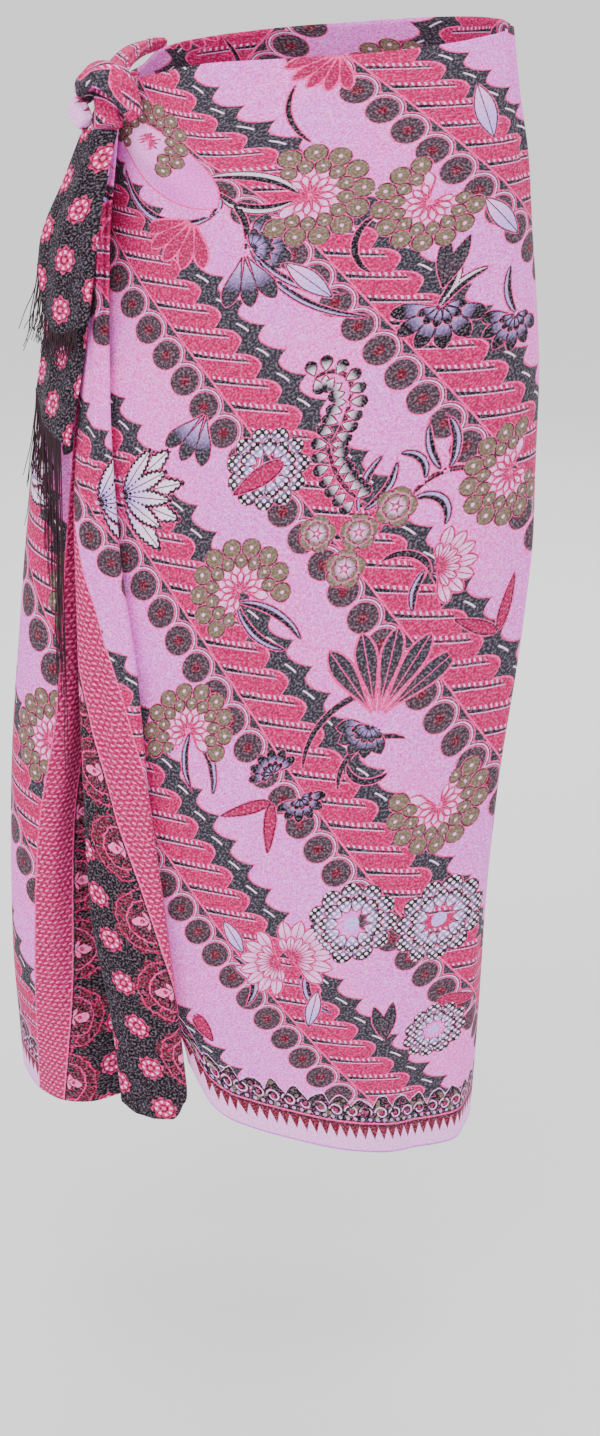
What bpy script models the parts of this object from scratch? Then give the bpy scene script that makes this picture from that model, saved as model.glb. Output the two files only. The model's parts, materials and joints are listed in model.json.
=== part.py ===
"""A batik sarong as it is worn: one length of cloth wrapped round the hips and knotted at the hip.

The cloth is built as the stretches that show, each a thin closed wall:
the wrap over the front, the wrap round the back, the long fall below the knot,
the two layers of the short end, the three bands of the knot, and two fringes.
Metres, +Z up, the front faces -Y. The origin is the middle of the waist edge.
"""
import functools
import math

import bmesh
import bpy
import numpy as np

# Driving sizes, in metres
WALL = 0.0015
GAP = 0.0003
MIDDLE_Y = -0.012
SECTION_POWER = 2.25

# The knot, at the front of the left hip (the viewer's left)
KNOT_ANGLE = 152.0
KNOT_DROP = 0.045
KNOT_PULL = 0.017
KNOT_SPREAD_ANGLE = 18.0
KNOT_SPREAD_DROP = 0.055

# The flap of cloth that the knot gathers over the front
FLAP_START = (-0.150, 0.055)
FLAP_END = (-0.088, 0.104)
FLAP_HEIGHT = 0.005
FLAP_FADE = 0.030
FLAP_STEP = 0.004


def table(names, *rows):
    """A table with named columns, a row for each section, fold or seam."""
    return dict(zip(names.split(), np.array(rows, float).T))


# Sections of the wrap: how far each side is from the waist's middle line, by drop below the waist
BODY = table(
    "drop   right   left    front   back",
    (0.000, 0.134, -0.127, -0.094, 0.086),
    (0.045, 0.140, -0.138, -0.102, 0.093),
    (0.090, 0.148, -0.153, -0.110, 0.102),
    (0.180, 0.159, -0.186, -0.120, 0.117),
    (0.270, 0.165, -0.214, -0.125, 0.122),
    (0.360, 0.164, -0.230, -0.126, 0.116),
    (0.460, 0.158, -0.242, -0.126, 0.106),
    (0.580, 0.146, -0.254, -0.128, 0.096),
    (0.700, 0.138, -0.260, -0.132, 0.089),
    (0.800, 0.135, -0.263, -0.136, 0.086),
    (0.900, 0.131, -0.266, -0.140, 0.085),
)

# Left edge of the front wrap, which lies under the fall down to the hem's rounded corner
FRONT_EDGE = table(
    "drop   x",
    (0.000, -0.124),
    (0.040, -0.136),
    (0.100, -0.158),
    (0.200, -0.166),
    (0.300, -0.165),
    (0.380, -0.160),
    (0.475, -0.151),
    (0.560, -0.144),
    (0.660, -0.133),
    (0.740, -0.121),
    (0.785, -0.109),
    (0.830, -0.103),
    (0.900, -0.085),
)

# Hem of the front wrap, from the right side (0) to the left edge (1)
FRONT_HEM = table(
    "along  drop",
    (0.00, 0.898),
    (0.25, 0.898),
    (0.50, 0.890),
    (0.68, 0.878),
    (0.82, 0.864),
    (0.91, 0.850),
    (0.96, 0.832),
    (1.00, 0.790),
)

# The back wrap's end at the left: it rounds into a lobe, turns in at a valley and stops inside
LOBE = table(
    "drop   crest_x  crest_in  turn_x  turn_in  valley_x  valley_in  end_x   end_in",
    (0.000, -0.131, 0.000, -0.130, 0.002, -0.128, 0.0040, -0.124, 0.0050),
    (0.060, -0.150, 0.000, -0.149, 0.003, -0.146, 0.0070, -0.141, 0.0100),
    (0.140, -0.172, 0.000, -0.169, 0.006, -0.165, 0.0120, -0.158, 0.0160),
    (0.250, -0.182, 0.000, -0.179, 0.008, -0.175, 0.0180, -0.165, 0.0250),
    (0.380, -0.196, 0.000, -0.187, 0.010, -0.179, 0.0250, -0.164, 0.0350),
    (0.500, -0.207, 0.000, -0.194, 0.010, -0.184, 0.0290, -0.166, 0.0420),
    (0.620, -0.228, 0.000, -0.212, 0.008, -0.194, 0.0300, -0.170, 0.0470),
    (0.740, -0.236, 0.002, -0.219, 0.010, -0.196, 0.0270, -0.166, 0.0440),
    (0.820, -0.238, 0.010, -0.218, 0.014, -0.190, 0.0240, -0.162, 0.0420),
    (0.900, -0.240, 0.018, -0.216, 0.018, -0.188, 0.0230, -0.160, 0.0430),
)

# Hem of the back wrap, from the right side (0) round the back to the lobe's inner end (1)
BACK_HEM = table(
    "along  drop",
    (0.00, 0.898),
    (0.30, 0.888),
    (0.55, 0.874),
    (0.70, 0.868),
    (0.78, 0.858),
    (0.86, 0.862),
    (1.00, 0.850),
)

# The fall: a hanging fold from the knot, its right crest over the front wrap's left edge
FALL = table(
    "drop   right_x  left_x  face    tucked",
    (0.062, -0.146, -0.166, 0.0095, 0.0018),
    (0.150, -0.155, -0.175, 0.0105, 0.0016),
    (0.250, -0.156, -0.180, 0.0115, -0.0020),
    (0.360, -0.152, -0.187, 0.0125, -0.0080),
    (0.460, -0.141, -0.187, 0.0135, -0.0120),
    (0.560, -0.134, -0.186, 0.0150, -0.0160),
    (0.660, -0.123, -0.183, 0.0160, -0.0180),
    (0.750, -0.114, -0.169, 0.0165, -0.0180),
    (0.820, -0.108, -0.163, 0.0165, -0.0160),
    (0.880, -0.104, -0.160, 0.0165, -0.0140),
)

# Hem of the fall, from its right crest (0) to its left edge (1)
FALL_HEM = table(
    "along  drop",
    (0.00, 0.784),
    (0.16, 0.812),
    (0.34, 0.832),
    (0.60, 0.830),
    (0.80, 0.822),
    (1.00, 0.814),
)

# The short end that hangs from the knot: plan position of its left, middle and right
TAIL = table(
    "drop   left_x  left_y  mid_x   mid_y   right_x  right_y",
    (0.065, -0.172, -0.068, -0.160, -0.088, -0.146, -0.090),
    (0.100, -0.187, -0.064, -0.174, -0.088, -0.155, -0.098),
    (0.150, -0.208, -0.060, -0.190, -0.087, -0.163, -0.109),
    (0.210, -0.214, -0.058, -0.196, -0.087, -0.171, -0.114),
)
TAIL_HEM = table(
    "along  drop",
    (0.0, 0.166),
    (0.2, 0.196),
    (0.5, 0.210),
    (0.8, 0.204),
    (1.0, 0.196),
)

# The layer under it, which reaches lower and carries the fringe
UNDER = table(
    "drop   left_x  left_y  mid_x   mid_y   right_x  right_y",
    (0.096, -0.1830, -0.0632, -0.1708, -0.0862, -0.1535, -0.0948),
    (0.150, -0.1990, -0.0500, -0.1860, -0.0760, -0.1670, -0.0960),
    (0.210, -0.208, -0.045, -0.194, -0.073, -0.173, -0.100),
    (0.290, -0.222, -0.044, -0.209, -0.078, -0.188, -0.107),
)
UNDER_HEM = table(
    "along  drop",
    (0.0, 0.262),
    (0.5, 0.282),
    (1.0, 0.290),
)

# Large soft folds on the wrap: angle at the top and bottom, the stretch of drop, and how far each stands
FOLDS = table(
    "angle_top angle_low start  stop   spread  height",
    (12.0, 30.0, 0.30, 0.95, 7.0, 0.0040),
    (8.0, 9.0, -0.05, 0.16, 4.0, 0.0028),
    (20.0, 22.0, -0.05, 0.12, 4.5, 0.0022),
    (118.0, 96.0, 0.55, 0.95, 9.0, 0.0030),
    (70.0, 62.0, 0.62, 0.95, 10.0, 0.0026),
    (335.0, 338.0, 0.20, 0.95, 9.0, 0.0040),
    (300.0, 306.0, 0.35, 0.95, 10.0, 0.0050),
    (262.0, 264.0, 0.30, 0.95, 9.0, 0.0045),
    (228.0, 232.0, 0.22, 0.95, 9.0, 0.0050),
    (204.0, 206.0, 0.10, 0.95, 8.0, 0.0040),
)

# The three bands of the knot: points along each one and its half width and half thickness
KNOT_OVER = table(
    "x       y       z       wide    thick",
    (-0.1340, -0.0850, -0.0560, 0.0070, 0.0042),
    (-0.1400, -0.0890, -0.0410, 0.0105, 0.0060),
    (-0.1490, -0.0880, -0.0300, 0.0130, 0.0070),
    (-0.1600, -0.0800, -0.0280, 0.0125, 0.0070),
    (-0.1690, -0.0680, -0.0350, 0.0105, 0.0060),
    (-0.1705, -0.0540, -0.0470, 0.0075, 0.0045),
)
KNOT_THROUGH = table(
    "x       y       z       wide    thick",
    (-0.1250, 0.0440, -0.0180, 0.0040, 0.0030),
    (-0.1370, 0.0220, -0.0170, 0.0065, 0.0045),
    (-0.1475, -0.0070, -0.0185, 0.0090, 0.0060),
    (-0.1545, -0.0350, -0.0240, 0.0100, 0.0070),
    (-0.1560, -0.0590, -0.0400, 0.0095, 0.0078),
    (-0.1540, -0.0745, -0.0520, 0.0105, 0.0075),
    (-0.1540, -0.0850, -0.0640, 0.0110, 0.0060),
)
KNOT_TUCK = table(
    "x       y       z       wide    thick",
    (-0.1740, -0.0440, -0.0500, 0.0050, 0.0040),
    (-0.1775, -0.0570, -0.0520, 0.0070, 0.0048),
    (-0.1745, -0.0690, -0.0550, 0.0075, 0.0048),
    (-0.1690, -0.0780, -0.0620, 0.0060, 0.0040),
)

# How far the fall's turned-under edge stands off the wrap, and how far its face bows out
FALL_CLEAR = 0.0017
FALL_BOW = 0.0035

# The back wrap's columns, from just clear of the front wrap round to the crest, and in the turned end
BACK_START = 359.9
BACK_COLUMNS = 30
LOBE_COLUMNS = 3

# Fringes: thin strands on a narrow strip
STRIP_WIDE = 0.004
STRIP_THICK = 0.0012
STRAND_HALF = 0.0007
STRIP_BEHIND = 0.0020
STRAND_CLEAR = 0.003
STRAND_STEPS = 5
STRAND_REACH = 0.84
TAIL_STRANDS = 26
UNDER_STRANDS = 20

# How far the strands hang, from the left of each hem (0) to its right (1), and how far they drift left
TAIL_FRINGE = table(
    "along  hang   drift",
    (0.00, 0.070, 0.016),
    (0.15, 0.034, 0.006),
    (1.00, 0.022, 0.000),
)
UNDER_FRINGE = table(
    "along  hang   drift",
    (0.00, 0.110, 0.014),
    (0.20, 0.070, 0.006),
    (0.55, 0.150, 0.002),
    (0.80, 0.290, 0.004),
    (1.00, 0.200, 0.010),
)

COLOURS = {
    "print": (0.79, 0.42, 0.66, 1.0),
    "border": (0.20, 0.06, 0.09, 1.0),
    "knot": (0.62, 0.16, 0.33, 1.0),
    "fringe": (0.10, 0.05, 0.06, 1.0),
}


def smooth(at, xs, ys):
    """A cubic through the rows of a table that never overshoots them."""
    at = np.clip(at, xs[0], xs[-1])
    step = np.diff(xs)
    slope = np.diff(ys) / step
    lean = np.zeros(len(ys))
    rising = slope[:-1] * slope[1:] > 0
    pair = np.where(rising, slope[:-1] + slope[1:], 1.0)
    lean[1:-1] = np.where(rising, 2 * slope[:-1] * slope[1:] / pair, 0.0)
    lean[0] = slope[0]
    lean[-1] = slope[-1]
    i = np.clip(np.searchsorted(xs, at) - 1, 0, len(step) - 1)
    t = (at - xs[i]) / step[i]
    start = (1 + 2 * t) * (1 - t) ** 2 * ys[i] + t * (1 - t) ** 2 * step[i] * lean[i]
    stop = t * t * (3 - 2 * t) * ys[i + 1] + t * t * (t - 1) * step[i] * lean[i + 1]
    return start + stop


def read(rows, name, at, key="drop"):
    return smooth(at, rows[key], rows[name])


def step_up(x, low, high):
    t = np.clip((x - low) / (high - low), 0.0, 1.0)
    return t * t * (3 - 2 * t)


def fold_lift(angle, drop):
    """How far the knot's pull and the soft folds stand off the wrap's plain section."""
    beside = (angle - KNOT_ANGLE) / KNOT_SPREAD_ANGLE
    below = (drop - KNOT_DROP) / KNOT_SPREAD_DROP
    lift = KNOT_PULL * np.exp(-beside * beside - below * below)
    for top, low, start, stop, spread, height in zip(*FOLDS.values()):
        along = min(max((drop - start) / (stop - start), 0.0), 1.0)
        beside = (angle - top - (low - top) * along) / spread
        fade = step_up(drop, start, start + 0.10) if start > 0 else 1 - step_up(drop, stop - 0.08, stop)
        lift = lift + height * fade * np.exp(-beside * beside)
    return lift


def flap_lift(x, drop):
    """The flap below the crease that runs from the knot over the front."""
    ax, ad = FLAP_START
    bx, bd = FLAP_END
    length = math.hypot(bx - ax, bd - ad)
    along = ((x - ax) * (bx - ax) + (drop - ad) * (bd - ad)) / length
    below = ((drop - ad) * (bx - ax) - (x - ax) * (bd - ad)) / length
    fade = 1 - step_up(along, 0.45 * length, length)
    sink = math.exp(-max(below, 0.0) / FLAP_FADE)
    return float(FLAP_HEIGHT * fade * step_up(below, -FLAP_STEP, FLAP_STEP) * sink)


def section(drop):
    right, left, front, back = (float(read(BODY, name, drop)) for name in ("right", "left", "front", "back"))
    return (right + left) / 2, (right - left) / 2, MIDDLE_Y - front, back - MIDDLE_Y


def skin(angle, drop, lift=0.0):
    """A point on the wrap's outer face: 0 degrees is its right, 90 its front and 180 its left."""
    middle, half, front, back = section(drop)
    turn = math.radians(angle)
    c, s = math.cos(turn), math.sin(turn)
    power = 2 / SECTION_POWER
    depth = front if s > 0 else back
    stand = lift + fold_lift(angle, drop)
    x = middle + (half + stand) * math.copysign(abs(c) ** power, c)
    y = MIDDLE_Y - (depth + stand) * math.copysign(abs(s) ** power, s)
    return np.array((x, y, -drop))


@functools.lru_cache(maxsize=None)
def front_reach(drop):
    """The front half of a section: its angles, the folds' height there and how far each reaches sideways."""
    angles = np.linspace(0.0, 180.0, 91)
    folds = fold_lift(angles, drop)
    c = np.cos(np.radians(angles))
    return angles, folds, np.sign(c) * np.abs(c) ** (2 / SECTION_POWER)


def angle_at(x, drop, lift=0.0):
    """The angle on the front half at which the section has this x."""
    middle, half, _, _ = section(drop)
    angles, folds, reach = front_reach(drop)
    across = middle + (half + lift + folds) * reach
    last = int(np.argmin(across)) + 1
    return float(np.interp(-x, -across[:last], angles[:last]))


def waist_drop(angle):
    """The waist edge: a little higher on the right and the back, and drawn down at the knot."""
    turn = math.radians(angle)
    dip = 0.012 * math.exp(-(((angle - 160.0) / 20.0) ** 2))
    return 0.010 - 0.010 * math.cos(turn) + 0.004 * math.sin(turn) + dip


def curve_through(points, spans):
    """Points on a smooth curve through these, with a number of steps for each span."""
    points = np.asarray(points, float)
    padded = np.vstack([2 * points[0] - points[1], points, 2 * points[-1] - points[-2]])
    found = []
    for i, steps in enumerate(spans):
        a, b, c, d = padded[i : i + 4]
        for k in range(steps):
            t = k / steps
            found.append(
                0.5 * (2 * b + (c - a) * t + (2 * a - 5 * b + 4 * c - d) * t * t + (3 * b - a - 3 * c + d) * t**3)
            )
    found.append(points[-1])
    return np.array(found)


def material(name):
    made = bpy.data.materials.new(name)
    made.use_nodes = True
    shader = made.node_tree.nodes["Principled BSDF"]
    shader.inputs["Base Color"].default_value = COLOURS[name]
    shader.inputs["Roughness"].default_value = 0.85
    shader.inputs["Metallic"].default_value = 0.0
    return made


def put_in_scene(name, mesh, colour):
    made = bpy.data.objects.new(name, mesh)
    bpy.context.scene.collection.objects.link(made)
    made.data.materials.append(colour)
    return made


def wall(name, outer, colour, thick=WALL):
    """A closed wall of cloth from a grid of points on its outer face, rows down and columns across."""
    outer = np.asarray(outer, float)
    rows, columns, _ = outer.shape
    down = np.gradient(outer, axis=0)
    across = np.gradient(outer, axis=1)
    out = np.cross(across, down)
    out /= np.linalg.norm(out, axis=2, keepdims=True)
    inner = outer - out * thick
    points = np.concatenate([outer.reshape(-1, 3), inner.reshape(-1, 3)])
    under = rows * columns
    faces = []
    for r in range(rows - 1):
        for c in range(columns - 1):
            a = r * columns + c
            b, d, e = a + 1, a + columns, a + columns + 1
            faces.append((a, b, e, d))
            faces.append((under + a, under + d, under + e, under + b))
    rim = [c for c in range(columns)]
    rim += [r * columns + columns - 1 for r in range(1, rows)]
    rim += [(rows - 1) * columns + c for c in range(columns - 2, -1, -1)]
    rim += [r * columns for r in range(rows - 2, 0, -1)]
    for a, b in zip(rim, rim[1:] + rim[:1]):
        faces.append((b, a, under + a, under + b))
    mesh = bpy.data.meshes.new(name)
    mesh.from_pydata([tuple(p) for p in points], [], faces)
    mesh.validate()
    bm = bmesh.new()
    bm.from_mesh(mesh)
    bmesh.ops.recalc_face_normals(bm, faces=bm.faces[:])
    bm.to_mesh(mesh)
    bm.free()
    mesh.shade_smooth()
    mesh.set_sharp_from_angle(angle=math.radians(50))
    return put_in_scene(name, mesh, colour)


def band(name, rows, colour, sides=10, steps=4, grow=0.0):
    """A rounded band along a path, with its half width and half thickness at each point, and closed ends."""
    path = np.stack([rows["x"], rows["y"], rows["z"], rows["wide"], rows["thick"]], axis=1)
    path = curve_through(path, [steps] * (len(path) - 1))
    centre = path[:, :3]
    if grow:
        reach = np.gradient(centre, axis=0)[[0, -1]]
        reach /= np.linalg.norm(reach, axis=1, keepdims=True)
        centre = np.vstack([centre[0] - reach[0] * grow, centre[1:-1], centre[-1] + reach[1] * grow])
    hub = centre.mean(axis=0)
    ahead = np.gradient(centre, axis=0)
    ahead /= np.linalg.norm(ahead, axis=1, keepdims=True)
    bm = bmesh.new()
    rings = []
    for p, t, (wide, thick) in zip(centre, ahead, path[:, 3:]):
        out = p - hub
        out -= t * out.dot(t)
        out /= np.linalg.norm(out)
        side = np.cross(t, out)
        ring = []
        for k in range(sides):
            turn = 2 * math.pi * k / sides
            offset = side * math.cos(turn) * (wide + grow) + out * math.sin(turn) * (thick + grow)
            ring.append(bm.verts.new(p + offset))
        rings.append(ring)
    for low, high in zip(rings, rings[1:]):
        for k in range(sides):
            n = (k + 1) % sides
            bm.faces.new((low[k], low[n], high[n], high[k]))
    bm.faces.new(rings[0][::-1])
    bm.faces.new(rings[-1])
    bmesh.ops.recalc_face_normals(bm, faces=bm.faces[:])
    mesh = bpy.data.meshes.new(name)
    bm.to_mesh(mesh)
    bm.free()
    mesh.shade_smooth()
    return put_in_scene(name, mesh, colour)


def cut_by(piece, cutter):
    """Cuts a piece back from its neighbour's grown copy, so that a thin gap stays between the two."""
    cutter.hide_render = True
    cutter.display_type = "WIRE"
    cut = piece.modifiers.new("clear_of_" + cutter.name, "BOOLEAN")
    cut.operation = "DIFFERENCE"
    cut.object = cutter


def front_wrap(colour):
    """The cloth over the front, from the right side to the edge under the fall."""
    columns, rows = 34, 20
    grid = []
    for r in range(rows + 1):
        line = []
        for c in range(columns + 1):
            along = c / columns
            top = waist_drop(along * angle_at(float(FRONT_EDGE["x"][0]), 0.0))
            hem = float(smooth(along, FRONT_HEM["along"], FRONT_HEM["drop"]))
            drop = top + (hem - top) * r / rows
            angle = along * angle_at(float(read(FRONT_EDGE, "x", drop)), drop)
            plain = skin(angle, drop)
            line.append(skin(angle, drop, flap_lift(plain[0], drop)))
        grid.append(line)
    return wall("front_wrap", grid, colour)


def back_wrap(colour):
    """The cloth from the right side round the back to the lobe at the left, where it turns in."""
    rows = 20
    total = BACK_COLUMNS + 3 * LOBE_COLUMNS
    grid = []
    for r in range(rows + 1):
        line = []
        for c in range(total + 1):
            along = c / total
            share = min(along / 0.75, 1.0)
            top = waist_drop(360.0 - 190.0 * share)
            hem = float(smooth(along, BACK_HEM["along"], BACK_HEM["drop"]))
            drop = top + (hem - top) * r / rows
            line.append(back_section(drop)[c])
        grid.append(line)
    return wall("back_wrap", np.array(grid)[:, ::-1], colour)


def back_section(drop):
    """The back wrap's section at one height: round the body to the lobe's crest, then in to its end."""
    turned = []
    for name in ("crest", "turn", "valley", "end"):
        x = float(read(LOBE, name + "_x", drop))
        inward = float(read(LOBE, name + "_in", drop))
        turned.append((angle_at(x, drop, -inward), -inward))
    angles = np.linspace(BACK_START, turned[0][0], BACK_COLUMNS + 1)
    points = [skin(angle, drop, turned[0][1] * step_up(-angle, -200.0, -turned[0][0])) for angle in angles]
    lobe = curve_through([points[-2]] + [skin(angle, drop, lift) for angle, lift in turned], (1,) + (LOBE_COLUMNS,) * 3)
    return np.vstack([points[:-1], lobe[1:]])


def fall_section(drop):
    """The fall's section at one height: a short return, the right crest, the face and the left edge tucked in."""
    right, left, face, tucked = (float(read(FALL, n, drop)) for n in ("right_x", "left_x", "face", "tucked"))
    wide = right - left
    under = FALL_CLEAR + flap_lift(right, drop)
    face = max(face, under + 0.0050)
    shape = (
        (right - 0.42 * wide, under),
        (right - 0.0035, under),
        (right, 0.5 * (under + face)),
        (right - 0.0040, face),
        (right - 0.50 * wide, face + FALL_BOW),
        (left + 0.0045, face + 0.0010),
        (left, face - 0.0040),
        (left + 0.0030, 0.5 * (face - 0.0045 + tucked)),
        (left + 0.0065, tucked),
    )
    points = [skin(angle_at(x, drop, lift), drop, lift) for x, lift in shape]
    return curve_through(points, (2, 2, 2, 4, 4, 2, 2, 2))


def fall_fold(colour):
    rows = 24
    total = 20
    start = float(FALL["drop"][0])
    grid = []
    for r in range(rows + 1):
        line = []
        for c in range(total + 1):
            hem = float(smooth(c / total, FALL_HEM["along"], FALL_HEM["drop"]))
            drop = start + (hem - start) * r / rows
            line.append(fall_section(drop)[c])
        grid.append(line)
    return wall("fall_fold", grid, colour)


def layer_grid(rows, hem, steps):
    """Points of one layer of the short end: a strip that widens from the knot, bowed out at its middle."""
    across, down = steps
    start = float(rows["drop"][0])
    grid = []
    for r in range(down + 1):
        line = []
        for c in range(2 * across + 1):
            along = c / (2 * across)
            low = float(smooth(along, hem["along"], hem["drop"]))
            drop = start + (low - start) * r / down
            points = []
            for side in ("left", "mid", "right"):
                points.append((float(read(rows, side + "_x", drop)), float(read(rows, side + "_y", drop)), -drop))
            line.append(curve_through(points, (across, across))[c])
        grid.append(line)
    return np.array(grid)


def clear_of_wrap(point):
    """The same point, or one in front of it that stands clear of the wrap, and of the fall where that lies."""
    x, y, z = point
    lift = STRAND_CLEAR
    if x > float(read(FALL, "left_x", -z)) - STRAND_CLEAR:
        lift += float(read(FALL, "face", -z)) + FALL_BOW
    face = skin(angle_at(x, -z, lift), -z, lift)
    return np.array((x, min(y, face[1]), z))


def strand(bm, path, half):
    """One thin three-sided strand along a path."""
    rings = []
    for i, p in enumerate(path):
        ahead = path[min(i + 1, len(path) - 1)] - path[max(i - 1, 0)]
        ahead = ahead / np.linalg.norm(ahead)
        side = np.cross(ahead, (0.3, 1.0, 0.1))
        side /= np.linalg.norm(side)
        up = np.cross(side, ahead)
        size = half * (1 - 0.35 * i / (len(path) - 1))
        ring = []
        for k in range(3):
            turn = 2 * math.pi * k / 3
            ring.append(bm.verts.new(p + (side * math.cos(turn) + up * math.sin(turn)) * size))
        rings.append(ring)
    for low, high in zip(rings, rings[1:]):
        for k in range(3):
            n = (k + 1) % 3
            bm.faces.new((low[k], low[n], high[n], high[k]))
    bm.faces.new(rings[0][::-1])
    bm.faces.new(rings[-1])


def fringe(name, layer, shape, count, seed, colour):
    """A narrow strip behind a layer's hem, with strands fused into it that hang down past the hem."""
    rng = np.random.default_rng(seed)
    low = layer[-1]
    rise = layer[-2] - low
    rise /= np.linalg.norm(rise, axis=1, keepdims=True)
    out = np.cross(np.gradient(low, axis=0), rise)
    out /= np.linalg.norm(out, axis=1, keepdims=True)
    out *= -np.sign(out[:, 1:2])
    foot = low - out * STRIP_BEHIND + rise * 0.0006
    strip = wall(name, np.array([foot + rise * STRIP_WIDE, foot])[:, ::-1], colour, STRIP_THICK)
    bm = bmesh.new()
    for i in range(count):
        along = STRAND_REACH * (i + 0.5) / count
        at = along * (len(foot) - 1)
        k = int(at)
        root = foot[k] + (foot[k + 1] - foot[k]) * (at - k)
        root = root + rise[k] * STRIP_WIDE * 0.5 - out[k] * STRIP_THICK * 0.5
        hang = float(smooth(along, shape["along"], shape["hang"])) * rng.uniform(0.72, 1.0)
        drift = float(smooth(along, shape["along"], shape["drift"]))
        sway = rng.uniform(-0.0012, 0.0012)
        path = [root]
        for step in range(1, STRAND_STEPS + 1):
            t = step / STRAND_STEPS
            bend = sway * math.sin(math.pi * t * 1.5)
            path.append(clear_of_wrap(root + np.array((bend - drift * t**1.5, 0.0, -hang * t))))
        strand(bm, path, STRAND_HALF)
    bmesh.ops.recalc_face_normals(bm, faces=bm.faces[:])
    mesh = bpy.data.meshes.new(name + "_strands")
    bm.to_mesh(mesh)
    bm.free()
    strands = put_in_scene(name + "_strands", mesh, colour)
    strands.hide_render = True
    strands.display_type = "WIRE"
    join = strip.modifiers.new("fuse_strands", "BOOLEAN")
    join.operation = "UNION"
    join.use_self = True
    join.object = strands
    return strip


def main():
    for old in list(bpy.data.objects):
        bpy.data.objects.remove(old)
    colours = {name: material(name) for name in COLOURS}
    front_wrap(colours["print"])
    back_wrap(colours["print"])
    fall = fall_fold(colours["border"])
    tail_grid = layer_grid(TAIL, TAIL_HEM, (5, 14))
    under_grid = layer_grid(UNDER, UNDER_HEM, (4, 10))
    tail = wall("tail_end", tail_grid[:, ::-1], colours["border"])
    wall("tail_under", under_grid[:, ::-1], colours["border"])
    fringe("tail_fringe", tail_grid, TAIL_FRINGE, TAIL_STRANDS, 3, colours["fringe"])
    fringe("under_fringe", under_grid, UNDER_FRINGE, UNDER_STRANDS, 8, colours["fringe"])
    over = band("knot_over", KNOT_OVER, colours["knot"])
    through = band("knot_through", KNOT_THROUGH, colours["knot"])
    tuck = band("knot_tuck", KNOT_TUCK, colours["knot"])
    grown = {
        rows: band("clear_" + rows, shape, colours["knot"], grow=GAP)
        for rows, shape in (("over", KNOT_OVER), ("through", KNOT_THROUGH), ("tuck", KNOT_TUCK))
    }
    cut_by(through, grown["over"])
    cut_by(tuck, grown["over"])
    cut_by(tuck, grown["through"])
    for piece in (fall, tail):
        for cutter in grown.values():
            cut_by(piece, cutter)


main()
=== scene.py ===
# %% [markdown]
# # A batik sarong, worn and knotted at the hip
#
# The real object is one length of fine cotton, drawn on by hand with wax and dyed several times.
# It is wrapped round the hips and knotted at the front of one hip, and its end hangs from the knot.
# The frame gives the plain closed solids. This script puts a fine sheet of cloth in the place of
# each one, with the same form, its finer creases and the drawn print.

import json
import math

import bpy
import numpy as np
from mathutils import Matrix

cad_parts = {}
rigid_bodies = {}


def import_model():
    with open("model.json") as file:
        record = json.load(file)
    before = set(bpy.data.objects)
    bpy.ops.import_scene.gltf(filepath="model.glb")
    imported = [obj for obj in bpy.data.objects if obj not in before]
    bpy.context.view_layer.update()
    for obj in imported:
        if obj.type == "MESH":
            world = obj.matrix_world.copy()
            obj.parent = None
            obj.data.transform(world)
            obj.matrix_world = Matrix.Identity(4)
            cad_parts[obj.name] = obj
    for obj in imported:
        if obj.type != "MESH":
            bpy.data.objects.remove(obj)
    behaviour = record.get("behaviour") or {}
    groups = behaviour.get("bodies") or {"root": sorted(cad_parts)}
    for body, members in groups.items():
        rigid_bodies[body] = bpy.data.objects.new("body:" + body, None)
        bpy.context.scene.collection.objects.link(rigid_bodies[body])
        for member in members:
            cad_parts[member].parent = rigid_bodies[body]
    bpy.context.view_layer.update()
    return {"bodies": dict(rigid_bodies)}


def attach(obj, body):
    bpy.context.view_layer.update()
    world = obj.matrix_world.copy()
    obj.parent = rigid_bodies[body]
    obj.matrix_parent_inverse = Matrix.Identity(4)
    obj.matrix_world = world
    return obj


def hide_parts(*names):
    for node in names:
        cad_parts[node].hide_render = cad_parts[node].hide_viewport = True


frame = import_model()
BODY_NAME = next(iter(frame["bodies"]))

# %% [markdown]
# ## Camera, floor and light
#
# The photograph looks slightly down at the front from standing height, with a long lens and soft
# light from both sides. The camera's place and tilt were worked out from the waist's ellipse and
# the cloth's height. The floor is pale and seamless.

# %% Camera, floor and light
CAMERA_PLACE = (-0.018, -1.70, 0.14)
CAMERA_TILT = 22.0
LENS = 56.03
FILM = 36.0
FLOOR_DROP = 1.12


def add_light(name, place, aim, size, power, colour):
    """A soft square lamp at a place, turned to face a point."""
    bpy.ops.object.light_add(type="AREA", location=place)
    lamp = bpy.context.object
    lamp.name = name
    lamp.data.size = size
    lamp.data.energy = power
    lamp.data.color = colour
    away = [a - b for a, b in zip(place, aim)]
    flat = math.hypot(away[0], away[1])
    lamp.rotation_euler = (math.atan2(flat, away[2]), 0.0, math.atan2(away[0], -away[1]))
    return lamp


bpy.ops.object.camera_add(location=CAMERA_PLACE, rotation=(math.radians(90.0 - CAMERA_TILT), 0.0, 0.0))
camera = bpy.context.object
camera.data.lens = LENS
camera.data.sensor_fit = "VERTICAL"
camera.data.sensor_height = FILM
camera.data.dof.use_dof = False
bpy.context.scene.camera = camera

middle = (-0.04, -0.10, -0.45)
add_light("key_light", (-1.6, -2.2, 1.1), middle, 1.6, 40.0, (1.0, 0.985, 0.97))
add_light("fill_light", (1.9, -1.9, 0.5), middle, 1.8, 20.0, (0.97, 0.985, 1.0))
add_light("top_light", (0.0, -0.4, 2.0), middle, 1.8, 18.0, (1.0, 1.0, 1.0))
add_light("back_light", (0.5, 2.2, 0.9), middle, 1.8, 30.0, (1.0, 1.0, 1.0))

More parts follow.
